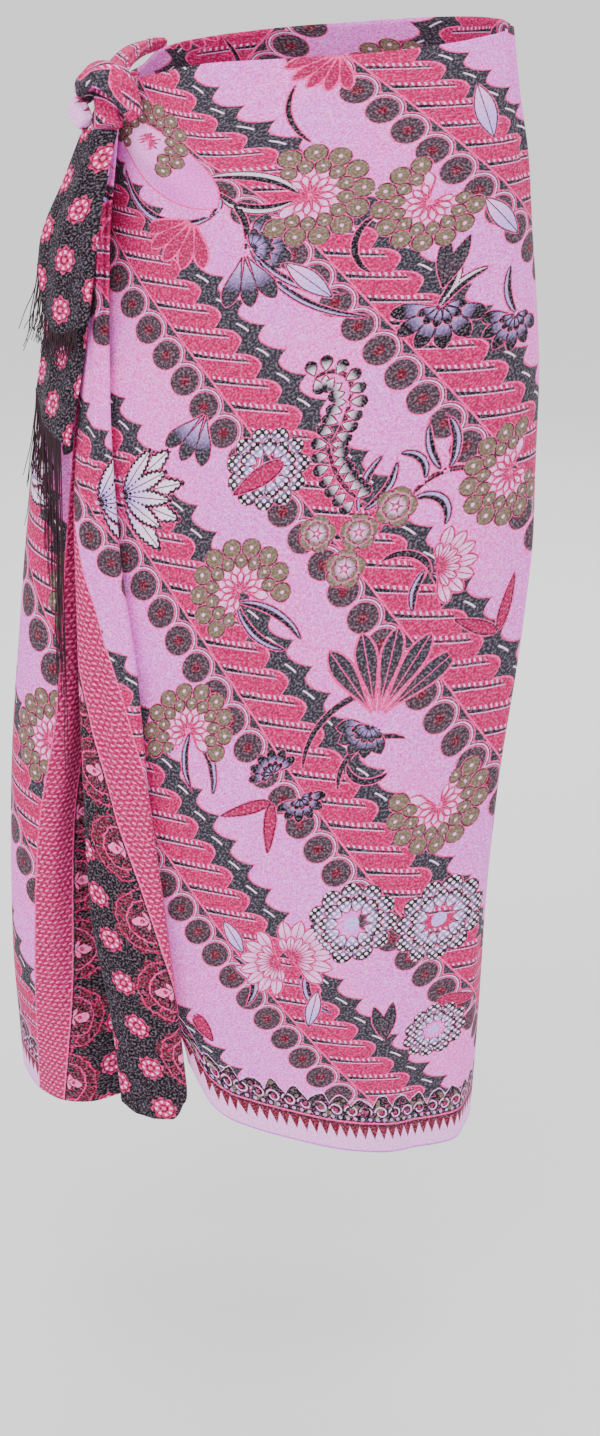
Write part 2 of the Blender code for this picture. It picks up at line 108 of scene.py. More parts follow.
bpy.ops.object.select_all(action="DESELECT")
bpy.ops.mesh.primitive_plane_add(size=60.0, location=(0.0, 0.0, -FLOOR_DROP))
floor = bpy.context.object
floor.name = "floor"
world = bpy.data.worlds.new("soft_room")
world.use_nodes = True
world.node_tree.nodes["Background"].inputs["Color"].default_value = (1.0, 1.0, 1.0, 1.0)
world.node_tree.nodes["Background"].inputs["Strength"].default_value = 1.45
bpy.context.scene.world = world
print("camera", tuple(round(v, 3) for v in camera.location), "floor at", -FLOOR_DROP)

# %% [markdown]
# ## The wrap's form
#
# A wrapped cloth has no pattern pieces of its own: its form is the body's under it, drawn in to the
# knot. So the form is kept as sections, how far each side stands from the middle line at each drop
# below the waist, and every sheet is laid on them. The large folds are the frame's. The creases are
# finer: those that run out of the knot, the gathers at the right of the waist and the long soft
# drapes towards the hem, uneven as in the photograph and with similar ones round the back.

# %% The wrap's form
CLOTH = 0.0011
MIDDLE_Y = -0.012
SECTION_POWER = 2.25
KNOT_ANGLE = 152.0
KNOT_DROP = 0.045
KNOT_PULL = 0.017
KNOT_SPREAD_ANGLE = 18.0
KNOT_SPREAD_DROP = 0.055
FLAP_START = (-0.150, 0.055)
FLAP_END = (-0.088, 0.104)
FLAP_HEIGHT = 0.005
FLAP_FADE = 0.030
FLAP_STEP = 0.004
FLAP_FULL = 0.45
FALL_CLEAR = 0.0017
FALL_BOW = 0.0035
BACK_START = 359.9
# The waist edge: how it tilts to the right and the front, and dips at the knot
WAIST_TILT = 0.010
WAIST_FRONT = 0.004
DIP = 0.012
DIP_ANGLE = 160.0
DIP_SPREAD = 20.0
# A fold that starts below the waist fades in over the first of these, one from the waist out over the last
FADE_IN = 0.10
FADE_OUT = 0.08
DROPS = np.linspace(-0.02, 0.91, 466)


def table(names, *rows):
    """A table with named columns, a row for each section, fold or seam."""
    return dict(zip(names.split(), np.array(rows, float).T))


BODY = table(
    "drop   right   left    front   back",
    (0.000, 0.134, -0.127, -0.094, 0.086),
    (0.045, 0.140, -0.138, -0.102, 0.093),
    (0.090, 0.148, -0.153, -0.110, 0.102),
    (0.180, 0.159, -0.186, -0.120, 0.117),
    (0.270, 0.165, -0.214, -0.125, 0.122),
    (0.360, 0.164, -0.230, -0.126, 0.116),
    (0.460, 0.158, -0.242, -0.126, 0.106),
    (0.580, 0.146, -0.254, -0.128, 0.096),
    (0.700, 0.138, -0.260, -0.132, 0.089),
    (0.800, 0.135, -0.263, -0.136, 0.086),
    (0.900, 0.131, -0.266, -0.140, 0.085),
)
FRONT_EDGE = table(
    "drop   x",
    (0.000, -0.124),
    (0.040, -0.136),
    (0.100, -0.158),
    (0.200, -0.166),
    (0.300, -0.165),
    (0.380, -0.160),
    (0.475, -0.151),
    (0.560, -0.144),
    (0.660, -0.133),
    (0.740, -0.121),
    (0.785, -0.109),
    (0.830, -0.103),
    (0.900, -0.085),
)
FRONT_HEM = table(
    "along  drop",
    (0.00, 0.898),
    (0.25, 0.898),
    (0.50, 0.890),
    (0.68, 0.878),
    (0.82, 0.864),
    (0.91, 0.850),
    (0.96, 0.832),
    (1.00, 0.790),
)
LOBE = table(
    "drop   crest_x  crest_in  turn_x  turn_in  valley_x  valley_in  end_x   end_in",
    (0.000, -0.131, 0.000, -0.130, 0.002, -0.128, 0.0040, -0.124, 0.0050),
    (0.060, -0.150, 0.000, -0.149, 0.003, -0.146, 0.0070, -0.141, 0.0100),
    (0.140, -0.172, 0.000, -0.169, 0.006, -0.165, 0.0120, -0.158, 0.0160),
    (0.250, -0.182, 0.000, -0.179, 0.008, -0.175, 0.0180, -0.165, 0.0250),
    (0.380, -0.196, 0.000, -0.187, 0.010, -0.179, 0.0250, -0.164, 0.0350),
    (0.500, -0.207, 0.000, -0.194, 0.010, -0.184, 0.0290, -0.166, 0.0420),
    (0.620, -0.228, 0.000, -0.212, 0.008, -0.194, 0.0300, -0.170, 0.0470),
    (0.740, -0.236, 0.002, -0.219, 0.010, -0.196, 0.0270, -0.166, 0.0440),
    (0.820, -0.238, 0.010, -0.218, 0.014, -0.190, 0.0240, -0.162, 0.0420),
    (0.900, -0.240, 0.018, -0.216, 0.018, -0.188, 0.0230, -0.160, 0.0430),
)
BACK_HEM = table(
    "along  drop",
    (0.00, 0.898),
    (0.30, 0.888),
    (0.55, 0.874),
    (0.70, 0.868),
    (0.78, 0.858),
    (0.86, 0.862),
    (1.00, 0.850),
)
FALL = table(
    "drop   right_x  left_x  face    tucked",
    (0.062, -0.146, -0.166, 0.0095, 0.0018),
    (0.150, -0.155, -0.175, 0.0105, 0.0016),
    (0.250, -0.156, -0.180, 0.0115, -0.0020),
    (0.360, -0.152, -0.187, 0.0125, -0.0080),
    (0.460, -0.141, -0.187, 0.0135, -0.0120),
    (0.560, -0.134, -0.186, 0.0150, -0.0160),
    (0.660, -0.123, -0.183, 0.0160, -0.0180),
    (0.750, -0.114, -0.169, 0.0165, -0.0180),
    (0.820, -0.108, -0.163, 0.0165, -0.0160),
    (0.880, -0.104, -0.160, 0.0165, -0.0140),
)
FALL_HEM = table(
    "along  drop",
    (0.00, 0.784),
    (0.16, 0.812),
    (0.34, 0.832),
    (0.60, 0.830),
    (0.80, 0.822),
    (1.00, 0.814),
)
TAIL = table(
    "drop   left_x  left_y  mid_x   mid_y   right_x  right_y",
    (0.065, -0.172, -0.068, -0.160, -0.088, -0.146, -0.090),
    (0.100, -0.187, -0.064, -0.174, -0.088, -0.155, -0.098),
    (0.150, -0.208, -0.060, -0.190, -0.087, -0.163, -0.109),
    (0.210, -0.214, -0.058, -0.196, -0.087, -0.171, -0.114),
)
TAIL_HEM = table(
    "along  drop",
    (0.0, 0.166),
    (0.2, 0.196),
    (0.5, 0.210),
    (0.8, 0.204),
    (1.0, 0.196),
)
UNDER = table(
    "drop   left_x  left_y  mid_x   mid_y   right_x  right_y",
    (0.096, -0.1830, -0.0632, -0.1708, -0.0862, -0.1535, -0.0948),
    (0.150, -0.1990, -0.0500, -0.1860, -0.0760, -0.1670, -0.0960),
    (0.210, -0.208, -0.045, -0.194, -0.073, -0.173, -0.100),
    (0.290, -0.222, -0.044, -0.209, -0.078, -0.188, -0.107),
)
UNDER_HEM = table(
    "along  drop",
    (0.0, 0.262),
    (0.5, 0.282),
    (1.0, 0.290),
)
FOLDS = table(
    "angle_top angle_low start  stop   spread  height",
    (12.0, 30.0, 0.30, 0.95, 7.0, 0.0040),
    (8.0, 9.0, -0.05, 0.16, 4.0, 0.0028),
    (20.0, 22.0, -0.05, 0.12, 4.5, 0.0022),
    (118.0, 96.0, 0.55, 0.95, 9.0, 0.0030),
    (70.0, 62.0, 0.62, 0.95, 10.0, 0.0026),
    (335.0, 338.0, 0.20, 0.95, 9.0, 0.0040),
    (300.0, 306.0, 0.35, 0.95, 10.0, 0.0050),
    (262.0, 264.0, 0.30, 0.95, 9.0, 0.0045),
    (228.0, 232.0, 0.22, 0.95, 9.0, 0.0050),
    (204.0, 206.0, 0.10, 0.95, 8.0, 0.0040),
)
CREASES = table(
    "angle_top angle_low start  stop   spread  height",
    (36.0, 46.0, 0.36, 0.95, 5.0, -0.0018),
    (52.0, 56.0, 0.55, 0.95, 4.0, 0.0009),
    (84.0, 80.0, 0.66, 0.95, 6.0, -0.0012),
    (104.0, 88.0, 0.60, 0.95, 4.0, -0.0011),
    (14.0, 16.0, -0.05, 0.14, 2.2, -0.0016),
    (27.0, 33.0, -0.05, 0.13, 2.6, 0.0011),
    (36.0, 44.0, -0.05, 0.10, 3.0, -0.0007),
    (5.0, 4.0, -0.05, 0.20, 1.8, -0.0012),
    (318.0, 322.0, 0.30, 0.95, 4.0, -0.0016),
    (283.0, 285.0, 0.25, 0.95, 4.5, -0.0016),
    (246.0, 248.0, 0.20, 0.95, 4.0, -0.0016),
    (216.0, 218.0, 0.20, 0.95, 3.5, -0.0014),
    (345.0, 347.0, -0.05, 0.12, 2.4, 0.0012),
    (310.0, 312.0, -0.05, 0.11, 2.8, 0.0010),
    (278.0, 276.0, -0.05, 0.13, 3.0, -0.0010),
    (240.0, 236.0, -0.05, 0.12, 2.6, 0.0011),
    (212.0, 210.0, -0.05, 0.14, 2.4, -0.0012),
)
KNOT_CREASES = table(
    "angle   drop  long   spread  height",
    (20.0, 0.062, 0.210, 0.0042, 0.0016),
    (29.0, 0.064, 0.260, 0.0040, -0.0014),
    (38.0, 0.066, 0.230, 0.0046, 0.0015),
    (50.0, 0.070, 0.280, 0.0050, -0.0012),
    (63.0, 0.072, 0.240, 0.0048, 0.0012),
    (6.0, 0.050, 0.170, 0.0036, 0.0013),
    (-7.0, 0.045, 0.140, 0.0034, -0.0010),
)


def smooth(at, xs, ys):
    """A cubic through the rows of a table that never overshoots them."""
    at = np.clip(at, xs[0], xs[-1])
    step = np.diff(xs)
    slope = np.diff(ys) / step
    lean = np.zeros(len(ys))
    rising = slope[:-1] * slope[1:] > 0
    pair = np.where(rising, slope[:-1] + slope[1:], 1.0)
    lean[1:-1] = np.where(rising, 2 * slope[:-1] * slope[1:] / pair, 0.0)
    lean[0] = slope[0]
    lean[-1] = slope[-1]
    i = np.clip(np.searchsorted(xs, at) - 1, 0, len(step) - 1)
    t = (at - xs[i]) / step[i]
    start = (1 + 2 * t) * (1 - t) ** 2 * ys[i] + t * (1 - t) ** 2 * step[i] * lean[i]
    stop = t * t * (3 - 2 * t) * ys[i + 1] + t * t * (t - 1) * step[i] * lean[i + 1]
    return start + stop


def read(rows, name, at, key="drop"):
    return smooth(at, rows[key], rows[name])


def step_up(x, low, high):
    t = np.clip((x - low) / (high - low), 0.0, 1.0)
    return t * t * (3 - 2 * t)


def lift_of(rows, angle, drop):
    """How far a table's folds stand off the wrap's plain section."""
    lift = 0.0
    for top, low, start, stop, spread, height in zip(*rows.values()):
        along = np.clip((drop - start) / (stop - start), 0.0, 1.0)
        beside = (angle - top - (low - top) * along) / spread
        if start > 0:
            fade = step_up(drop, start, start + FADE_IN)
        else:
            fade = 1 - step_up(drop, stop - FADE_OUT, stop)
        lift = lift + height * fade * np.exp(-beside * beside)
    return lift


def fold_lift(angle, drop):
    """The knot's pull and the large soft folds."""
    beside = (angle - KNOT_ANGLE) / KNOT_SPREAD_ANGLE
    below = (drop - KNOT_DROP) / KNOT_SPREAD_DROP
    return KNOT_PULL * np.exp(-beside * beside - below * below) + lift_of(FOLDS, angle, drop)


def flap_lift(x, drop):
    """The flap below the crease that runs from the knot over the front."""
    ax, ad = FLAP_START
    bx, bd = FLAP_END
    length = math.hypot(bx - ax, bd - ad)
    along = ((x - ax) * (bx - ax) + (drop - ad) * (bd - ad)) / length
    below = ((drop - ad) * (bx - ax) - (x - ax) * (bd - ad)) / length
    fade = 1 - step_up(along, FLAP_FULL * length, length)
    sink = np.exp(-np.maximum(below, 0.0) / FLAP_FADE)
    return FLAP_HEIGHT * fade * step_up(below, -FLAP_STEP, FLAP_STEP) * sink


def knot_creases(x, drop):
    """Fine creases that run out of the knot over the front, each a ridge or groove that dies away."""
    lift = 0.0
    ax = FLAP_START[0]
    for angle, start, long, spread, height in zip(*KNOT_CREASES.values()):
        turn = math.radians(angle)
        along = (x - ax) * math.cos(turn) + (drop - start) * math.sin(turn)
        beside = (drop - start) * math.cos(turn) - (x - ax) * math.sin(turn)
        wide = spread * (1 + 2.2 * np.clip(along / long, 0.0, 1.0))
        fade = step_up(along, 0.004, 0.020) * (1 - step_up(along, 0.35 * long, long))
        lift = lift + height * fade * np.exp(-((beside / wide) ** 2))
    return lift


def skin(angle, drop, lift=0.0):
    """Points on the wrap's outer face: 0 degrees is its right, 90 its front and 180 its left."""
    right, left, front, back = (read(BODY, name, drop) for name in ("right", "left", "front", "back"))
    turn = np.radians(angle)
    c, s = np.cos(turn), np.sin(turn)
    power = 2 / SECTION_POWER
    depth = np.where(s > 0, MIDDLE_Y - front, back - MIDDLE_Y)
    stand = lift + fold_lift(angle, drop)
    x = (right + left) / 2 + ((right - left) / 2 + stand) * np.sign(c) * np.abs(c) ** power
    y = MIDDLE_Y - (depth + stand) * np.sign(s) * np.abs(s) ** power
    return np.stack(np.broadcast_arrays(x, y, -drop), axis=-1)


def angle_at(x, drop, lift=0.0):
    """The angle on the front half at which the section has this x, for a whole list of drops."""
    angles = np.linspace(0.0, 180.0, 181)
    found = []
    for each_x, each_drop, each_lift in zip(*np.broadcast_arrays(x, drop, lift)):
        across = skin(angles, each_drop, each_lift)[:, 0]
        last = int(np.argmin(across)) + 1
        found.append(np.interp(-each_x, -across[:last], angles[:last]))
    return np.array(found)


def waist_drop(angle):
    """The waist edge: a little higher on the right and the back, and drawn down at the knot."""
    turn = np.radians(angle)
    dip = DIP * np.exp(-(((angle - DIP_ANGLE) / DIP_SPREAD) ** 2))
    return WAIST_TILT - WAIST_TILT * np.cos(turn) + WAIST_FRONT * np.sin(turn) + dip


def curve_through(points, spans):
    """Points on a smooth curve through these, with a number of steps for each span."""
    points = np.asarray(points, float)
    padded = np.concatenate([[2 * points[0] - points[1]], points, [2 * points[-1] - points[-2]]])
    found = []
    for i, steps in enumerate(spans):
        a, b, c, d = padded[i : i + 4]
        for k in range(steps):
            t = k / steps
            bend = (2 * a - 5 * b + 4 * c - d) * t * t + (3 * b - a - 3 * c + d) * t**3
            found.append(0.5 * (2 * b + (c - a) * t + bend))
    found.append(points[-1])
    return np.array(found)


print("sections from", -DROPS[0], "to", -DROPS[-1])

# %% [markdown]
# ## Sheets
#
# Each sheet starts as a flat grid, as cloth does. Its rows are moved down the form from the top edge
# to the hem, and it is thickened to fine cotton afterwards. Its own coordinates are kept in metres:
# Cloth follows the main field's print, Edge counts up from the hem, and End counts across the
# cloth's patterned end.

# %% How a sheet is laid
ROW_DOWN = 0.0190
ROW_SHIFT = 0.0163
BAND_REPEAT = 0.150
PRINT_RIGHT = 0.115
PRINT_UP = -0.194
PRINT_MIDDLE = 0.4
# Where the knot pulls the print down and to the left, and how far that reaches
PULL_RIGHT = -0.085
PULL_UP = -0.050
PULL_REACH = 0.055
DIAGONAL = math.hypot(ROW_DOWN, ROW_SHIFT)
BAND_PITCH = BAND_REPEAT * ROW_DOWN / DIAGONAL


# Past this far to either side the print is drawn out less, and past the second it bends no further
FITTED_HALF = 0.26
FITTED_BEYOND = 0.8
BENT_HALF = 0.22


def drawn(u, v):
    """Where a point of the worn sheet lies on the print, by sums that fit how its bands run when worn."""
    inner = np.clip(u, -FITTED_HALF, FITTED_HALF)
    u = inner + FITTED_BEYOND * (u - inner)
    near = np.clip(u, -BENT_HALF, BENT_HALF)
    w = v + PRINT_MIDDLE
    right = PRINT_RIGHT + 0.99 * u - (0.11 * w + 0.55 * near + near * near) * near + w * (0.10 * w - 0.02)
    up = PRINT_UP + w * (0.90 + 0.13 * w + 0.80 * w * w) - 0.27 * near * w
    pulled = np.exp(-((u - PULL_RIGHT) ** 2 + (v - PULL_UP) ** 2) / PULL_REACH**2)
    return right + 0.017 * pulled, up + 0.014 * pulled


def lay(sections, tops, hems, rows):
    """Reads each column of dense sections from its top to its hem, evenly in rows."""
    down = np.linspace(0.0, 1.0, rows + 1)[:, None]
    drops = tops + (hems - tops) * down
    laid = np.empty(drops.shape + (sections.shape[2],))
    for c in range(drops.shape[1]):
        for k in range(sections.shape[2]):
            laid[:, c, k] = np.interp(drops[:, c], DROPS, sections[:, c, k])
    return laid, drops


def arc_across(points):
    """How far along its row each point lies."""
    steps = np.linalg.norm(np.diff(points, axis=1), axis=2)
    return np.concatenate([np.zeros((len(points), 1)), np.cumsum(steps, axis=1)], axis=1)


def make_sheet(name, points, maps, thick=CLOTH):
    """A sheet from a grid of points, rows down and columns across, with a UV map for each pair given."""
    rows, columns, _ = points.shape
    wide = np.linalg.norm(np.diff(points, axis=1), axis=2).sum(axis=1)
    long = np.linalg.norm(np.diff(points, axis=0), axis=2).sum(axis=0)
    print(name, "is", wide.max().round(3), "m wide and", long.max().round(3), "m long at most")
    bpy.ops.object.select_all(action="DESELECT")
    bpy.ops.mesh.primitive_grid_add(x_subdivisions=columns - 1, y_subdivisions=rows - 1, size=1.0)
    sheet = bpy.context.object
    sheet.name = name
    mesh = sheet.data
    mesh.name = name
    flat = np.empty(len(mesh.vertices) * 3)
    mesh.vertices.foreach_get("co", flat)
    flat = flat.reshape(-1, 3)
    column = np.rint((flat[:, 0] + 0.5) * (columns - 1)).astype(int)
    row = np.rint((flat[:, 1] + 0.5) * (rows - 1)).astype(int)
    mesh.vertices.foreach_set("co", points[row, column].ravel())
    corner = np.empty(len(mesh.loops), np.int32)
    mesh.loops.foreach_get("vertex_index", corner)
    mesh.uv_layers.remove(mesh.uv_layers[0])
    for label, pair in maps.items():
        layer = mesh.uv_layers.new(name=label)
        layer.data.foreach_set("uv", pair[row, column][corner].ravel())
    mesh.update()
    thicken = sheet.modifiers.new("thickness", "SOLIDIFY")
    thicken.thickness = thick
    thicken.offset = -1.0
    bpy.ops.object.modifier_apply(modifier="thickness")
    mesh.shade_smooth()
    return sheet


def pair(a, b):
    return np.stack(np.broadcast_arrays(a, b), axis=-1)


def printed_sheet(name, laid, drops, hems, cloth, end):
    """A sheet from its laid points, with the three maps that the print is painted on."""
    maps = {"Cloth": pair(*cloth), "Edge": pair(laid[-1:, :, 3], hems - drops), "End": pair(end, -drops)}
    sheet = make_sheet(name, laid[..., :3], maps)
    print(name, "has", len(sheet.data.polygons), "faces")
    return sheet


# %% [markdown]
# ## The front
#
# The front is the outer layer of the wrap. It runs from the right side to the edge under the fall,
# and its lower corner is rounded by the pull of the knot.

# %% The front
FRONT_COLUMNS = 150
FRONT_ROWS = 300
# Creases fade between these shares of the front's width, so that its edge lies flat
EDGE_FROM, EDGE_TO = 0.86, 0.97


def front_sections():
    """Dense sections of the front, with each point's distance right of the front's middle line."""
    edge = angle_at(read(FRONT_EDGE, "x", DROPS), DROPS)[:, None]
    along = np.linspace(0.0, 1.0, FRONT_COLUMNS + 1)
    angles = edge * along
    drops = DROPS[:, None]
    plain = skin(angles, drops)
    arc = arc_across(plain)
    zero = np.array([np.interp(90.0, a, s) for a, s in zip(angles, arc)])
    near_edge = 1 - step_up(along, EDGE_FROM, EDGE_TO)
    lift = flap_lift(plain[..., 0], drops)
    lift = lift + near_edge * (lift_of(CREASES, angles, drops) + knot_creases(plain[..., 0], drops))
    points = skin(angles, drops, lift)
    return np.concatenate([points, (zero[:, None] - arc)[..., None]], axis=2), zero


sections, right_reach = front_sections()
along = np.linspace(0.0, 1.0, FRONT_COLUMNS + 1)
front_tops = waist_drop(along * angle_at(FRONT_EDGE["x"][:1], 0.0)[0])
front_hems = smooth(along, FRONT_HEM["along"], FRONT_HEM["drop"])
laid, drops = lay(sections, front_tops, front_hems, FRONT_ROWS)
front = printed_sheet("front_cloth", laid, drops, front_hems, drawn(laid[..., 3], -drops), -1.0)

# %% [markdown]
# ## The back
#
# The same cloth goes on round the back from the right side and comes out at the left, where it
# rounds into a lobe and turns in under the fall. That end carries the first patterned end.

# %% The back
BACK_COLUMNS = 170
LOBE_COLUMNS = 9
BACK_ROWS = 250
# The angle at which the lobe begins to sink in, and how far round the waist edge is laid by what share
LOBE_FROM = 200.0
BACK_TURN = 190.0
BACK_SHARE = 0.75


def back_sections():
    """Dense sections of the back: round the body to the lobe's crest, then in to its end."""
    turned = []
    for name in ("crest", "turn", "valley", "end"):
        inward = read(LOBE, name + "_in", DROPS)
        turned.append((angle_at(read(LOBE, name + "_x", DROPS), DROPS, -inward), -inward))
    rows = []
    for i, drop in enumerate(DROPS):
        crest, sunk = turned[0][0][i], turned[0][1][i]
        angles = np.linspace(BACK_START, crest, BACK_COLUMNS + 1)
        lift = sunk * step_up(-angles, -LOBE_FROM, -crest) + lift_of(CREASES, angles, drop)
        points = skin(angles, drop, lift)
        ends = [points[-2]] + [skin(angle[i], drop, lift[i]) for angle, lift in turned]
        lobe = curve_through(ends, (1, LOBE_COLUMNS, LOBE_COLUMNS, LOBE_COLUMNS))
        rows.append(np.vstack([points[:-1], lobe[1:]]))
    points = np.array(rows)
    return np.concatenate([points, (right_reach[:, None] + arc_across(points))[..., None]], axis=2)


sections = back_sections()
along = np.linspace(0.0, 1.0, sections.shape[1])
back_tops = waist_drop(360.0 - BACK_TURN * np.minimum(along / BACK_SHARE, 1.0))
back_hems = smooth(along, BACK_HEM["along"], BACK_HEM["drop"])
laid, drops = lay(sections[:, ::-1], back_tops[::-1], back_hems[::-1], BACK_ROWS)
into_end = laid[..., 3] - laid[:, 3 * LOBE_COLUMNS : 3 * LOBE_COLUMNS + 1, 3]
back = printed_sheet("back_cloth", laid, drops, back_hems[::-1], drawn(laid[..., 3], -drops), into_end)

# %% [markdown]
# ## The fall
#
# Below the knot the cloth's other end hangs as a long hollow fold that narrows to its hem: a crest
# at its right over the front's edge, a bowed face, and its left edge tucked in behind.

# %% The fall
FALL_COLUMNS = (5, 4, 4, 16, 16, 6, 5, 5)
FALL_ROWS = 260
FALL_PRINT_RIGHT = 0.005
FALL_PRINT_UP = 0.205
END_LEAN = 0.19
END_DROP = 0.565
FALL_CREASES = table(
    "x_top   x_low   start  stop   spread  height",
    (0.22, 0.30, 0.06, 0.80, 0.060, -0.0016),
    (0.45, 0.52, 0.10, 0.85, 0.055, 0.0012),
    (0.66, 0.60, 0.06, 0.60, 0.060, -0.0014),
    (0.80, 0.78, 0.20, 0.85, 0.050, 0.0010),
)


def fall_sections():
    """Dense sections of the fall: a short return, the right crest, the face and the left edge tucked in."""
    right, left, face, tucked = (read(FALL, n, DROPS) for n in ("right_x", "left_x", "face", "tucked"))
    wide = right - left
    under = FALL_CLEAR + flap_lift(right, DROPS)
    face = np.maximum(face, under + 0.0050)
    shape = (
        (right - 0.42 * wide, under),
        (right - 0.0035, under),
        (right, 0.5 * (under + face)),
        (right - 0.0040, face),
        (right - 0.50 * wide, face + FALL_BOW),
        (left + 0.0045, face + 0.0010),
        (left, face - 0.0040),
        (left + 0.0030, 0.5 * (face - 0.0045 + tucked)),
        (left + 0.0065, tucked),
    )
    marks = np.array([skin(angle_at(x, DROPS, lift), DROPS, lift) for x, lift in shape])
    points = curve_through(marks, FALL_COLUMNS).transpose(1, 0, 2)
    share = np.clip((right[:, None] - points[..., 0]) / wide[:, None], 0.0, 1.0)
    outward = np.zeros(points.shape[:2])
    for top, low, start, stop, spread, height in zip(*FALL_CREASES.values()):
        at = top + (low - top) * np.clip((DROPS - start) / (stop - start), 0.0, 1.0)[:, None]
        fade = (step_up(DROPS, start, start + 0.06) * (1 - step_up(DROPS, stop - 0.1, stop + 0.1)))[:, None]
        outward += height * fade * np.exp(-(((share - at) / spread) ** 2))
    first, last = sum(FALL_COLUMNS[:3]), sum(FALL_COLUMNS[:6])
    outward[:, :first] = 0.0
    outward[:, last:] = 0.0
    points[..., 1] -= outward
    return np.concatenate([points, arc_across(points)[..., None]], axis=2)


sections = fall_sections()
along = np.linspace(0.0, 1.0, sections.shape[1])
fall_tops = np.full(sections.shape[1], FALL["drop"][0])
fall_hems = smooth(along, FALL_HEM["along"], FALL_HEM["drop"])
laid, drops = lay(sections, fall_tops, fall_hems, FALL_ROWS)
crest = laid[:, sum(FALL_COLUMNS[:2]) : sum(FALL_COLUMNS[:2]) + 1, 3]
fall_across = laid[..., 3] - crest
fall_cloth = (FALL_PRINT_RIGHT - fall_across, FALL_PRINT_UP - drops)
fall_end = 0.98 * fall_across + END_LEAN * (drops - END_DROP)
fall = printed_sheet("fall_cloth", laid, drops, fall_hems, fall_cloth, fall_end)

# %% [markdown]
# ## The short end
#
# Two layers of the cloth's end hang from the knot, the under one lower. Each is a strip that widens
# from the knot and bows out at its middle, with a ripple down its length.

# %% The short end
LAYER_ROWS = 60
LAYER_HALF = 18
RIPPLE = 0.0016
RIPPLE_WAVES = 2.5
RIPPLE_GROWS = 0.08
# The short end is all patterned, so its print starts this far into the patterned end
END_FIELD = 0.2


def layer_sheet(name, rows, hem, phase):
    """One layer of the short end, and the points along its hem."""
    marks = []
    for side in ("left", "mid", "right"):
        across, ahead = (read(rows, side + axis, DROPS) for axis in ("_x", "_y"))
        marks.append(np.stack([across, ahead, -DROPS], axis=1))
    points = curve_through(np.array(marks), (LAYER_HALF, LAYER_HALF)).transpose(1, 0, 2)
    share = np.linspace(0.0, 1.0, points.shape[1])
    below = np.clip((DROPS[:, None] - rows["drop"][0]) / RIPPLE_GROWS, 0.0, 1.0)
    points[..., 1] -= RIPPLE * below * np.sin(math.tau * RIPPLE_WAVES * share + phase)
    points = np.concatenate([points, arc_across(points)[..., None]], axis=2)
    hems = smooth(share, hem["along"], hem["drop"])
    laid, drops = lay(points, np.full(len(share), rows["drop"][0]), hems, LAYER_ROWS)
    laid, drops = laid[:, ::-1], drops[:, ::-1]
    cloth = drawn(laid[..., 3], -drops)
    sheet = printed_sheet(name, laid, drops, hems[::-1], cloth, laid[..., 3] + END_FIELD)
    return sheet, laid[-1, :, :3]


tail, tail_hem = layer_sheet("tail_cloth", TAIL, TAIL_HEM, 0.4)
tail_under, under_hem = layer_sheet("tail_under_cloth", UNDER, UNDER_HEM, 2.0)
print("hem points of the two layers", len(tail_hem), len(under_hem))

# %% [markdown]
# ## The knot
#
# The knot is the same cloth rolled tight: one band comes round from the back edge and goes under,
# one goes over it at the front, and a small one tucks in at the left. Each is rolled cloth, so its
# section is pleated along its length.

# %% The knot
KNOT_SIDES = 40
KNOT_STEPS = 14
# The sword bands run along each rolled band, so its print is turned by their slope
LEAN_X, LEAN_Y = 0.759, 0.651
BAND_CLOTH = 0.0008
WELD = 0.00002
KNOT_OVER = table(
    "x       y       z       wide    thick",
    (-0.1340, -0.0850, -0.0560, 0.0070, 0.0042),
    (-0.1400, -0.0890, -0.0410, 0.0105, 0.0060),
    (-0.1490, -0.0880, -0.0300, 0.0130, 0.0070),
    (-0.1600, -0.0800, -0.0280, 0.0125, 0.0070),
    (-0.1690, -0.0680, -0.0350, 0.0105, 0.0060),
    (-0.1705, -0.0540, -0.0470, 0.0075, 0.0045),
)
KNOT_THROUGH = table(
    "x       y       z       wide    thick",
    (-0.1206, 0.0412, -0.0185, 0.0040, 0.0030),
    (-0.1330, 0.0207, -0.0195, 0.0065, 0.0045),
    (-0.1427, -0.0071, -0.0225, 0.0085, 0.0058),
    (-0.1494, -0.0330, -0.0290, 0.0098, 0.0068),
    (-0.1560, -0.0590, -0.0400, 0.0095, 0.0078),
    (-0.1540, -0.0745, -0.0520, 0.0105, 0.0075),
    (-0.1540, -0.0850, -0.0640, 0.0110, 0.0060),
)
KNOT_TUCK = table(
    "x       y       z       wide    thick",
    (-0.1740, -0.0440, -0.0500, 0.0050, 0.0040),
    (-0.1775, -0.0570, -0.0520, 0.0070, 0.0048),
    (-0.1745, -0.0690, -0.0550, 0.0075, 0.0048),
    (-0.1690, -0.0780, -0.0620, 0.0060, 0.0040),
)


def band_points(rows, pleats, depth):
    """A grid of points round a rolled band, rows along its path and columns round its section."""
    path = np.stack([rows["x"], rows["y"], rows["z"], rows["wide"], rows["thick"]], axis=1)
    path = curve_through(path, [KNOT_STEPS] * (len(path) - 1))
    centre = path[:, :3]
    ahead = np.gradient(centre, axis=0)
    ahead /= np.linalg.norm(ahead, axis=1, keepdims=True)
    out = centre - centre.mean(axis=0)
    out -= ahead * np.sum(out * ahead, axis=1, keepdims=True)
    out /= np.linalg.norm(out, axis=1, keepdims=True)
    side = np.cross(ahead, out)
    turn = np.linspace(0.0, math.tau, KNOT_SIDES + 1)[None, :, None]
    drift = np.linspace(0.0, 1.1, len(path))[:, None, None]
    groove = 1 - depth * (0.5 + 0.5 * np.cos(pleats * turn + drift + 0.7 * np.sin(2 * turn)))
    wide = path[:, None, 3:4] * groove
    thick = path[:, None, 4:5] * groove
    return centre[:, None] + side[:, None] * np.cos(turn) * wide + out[:, None] * np.sin(turn) * thick


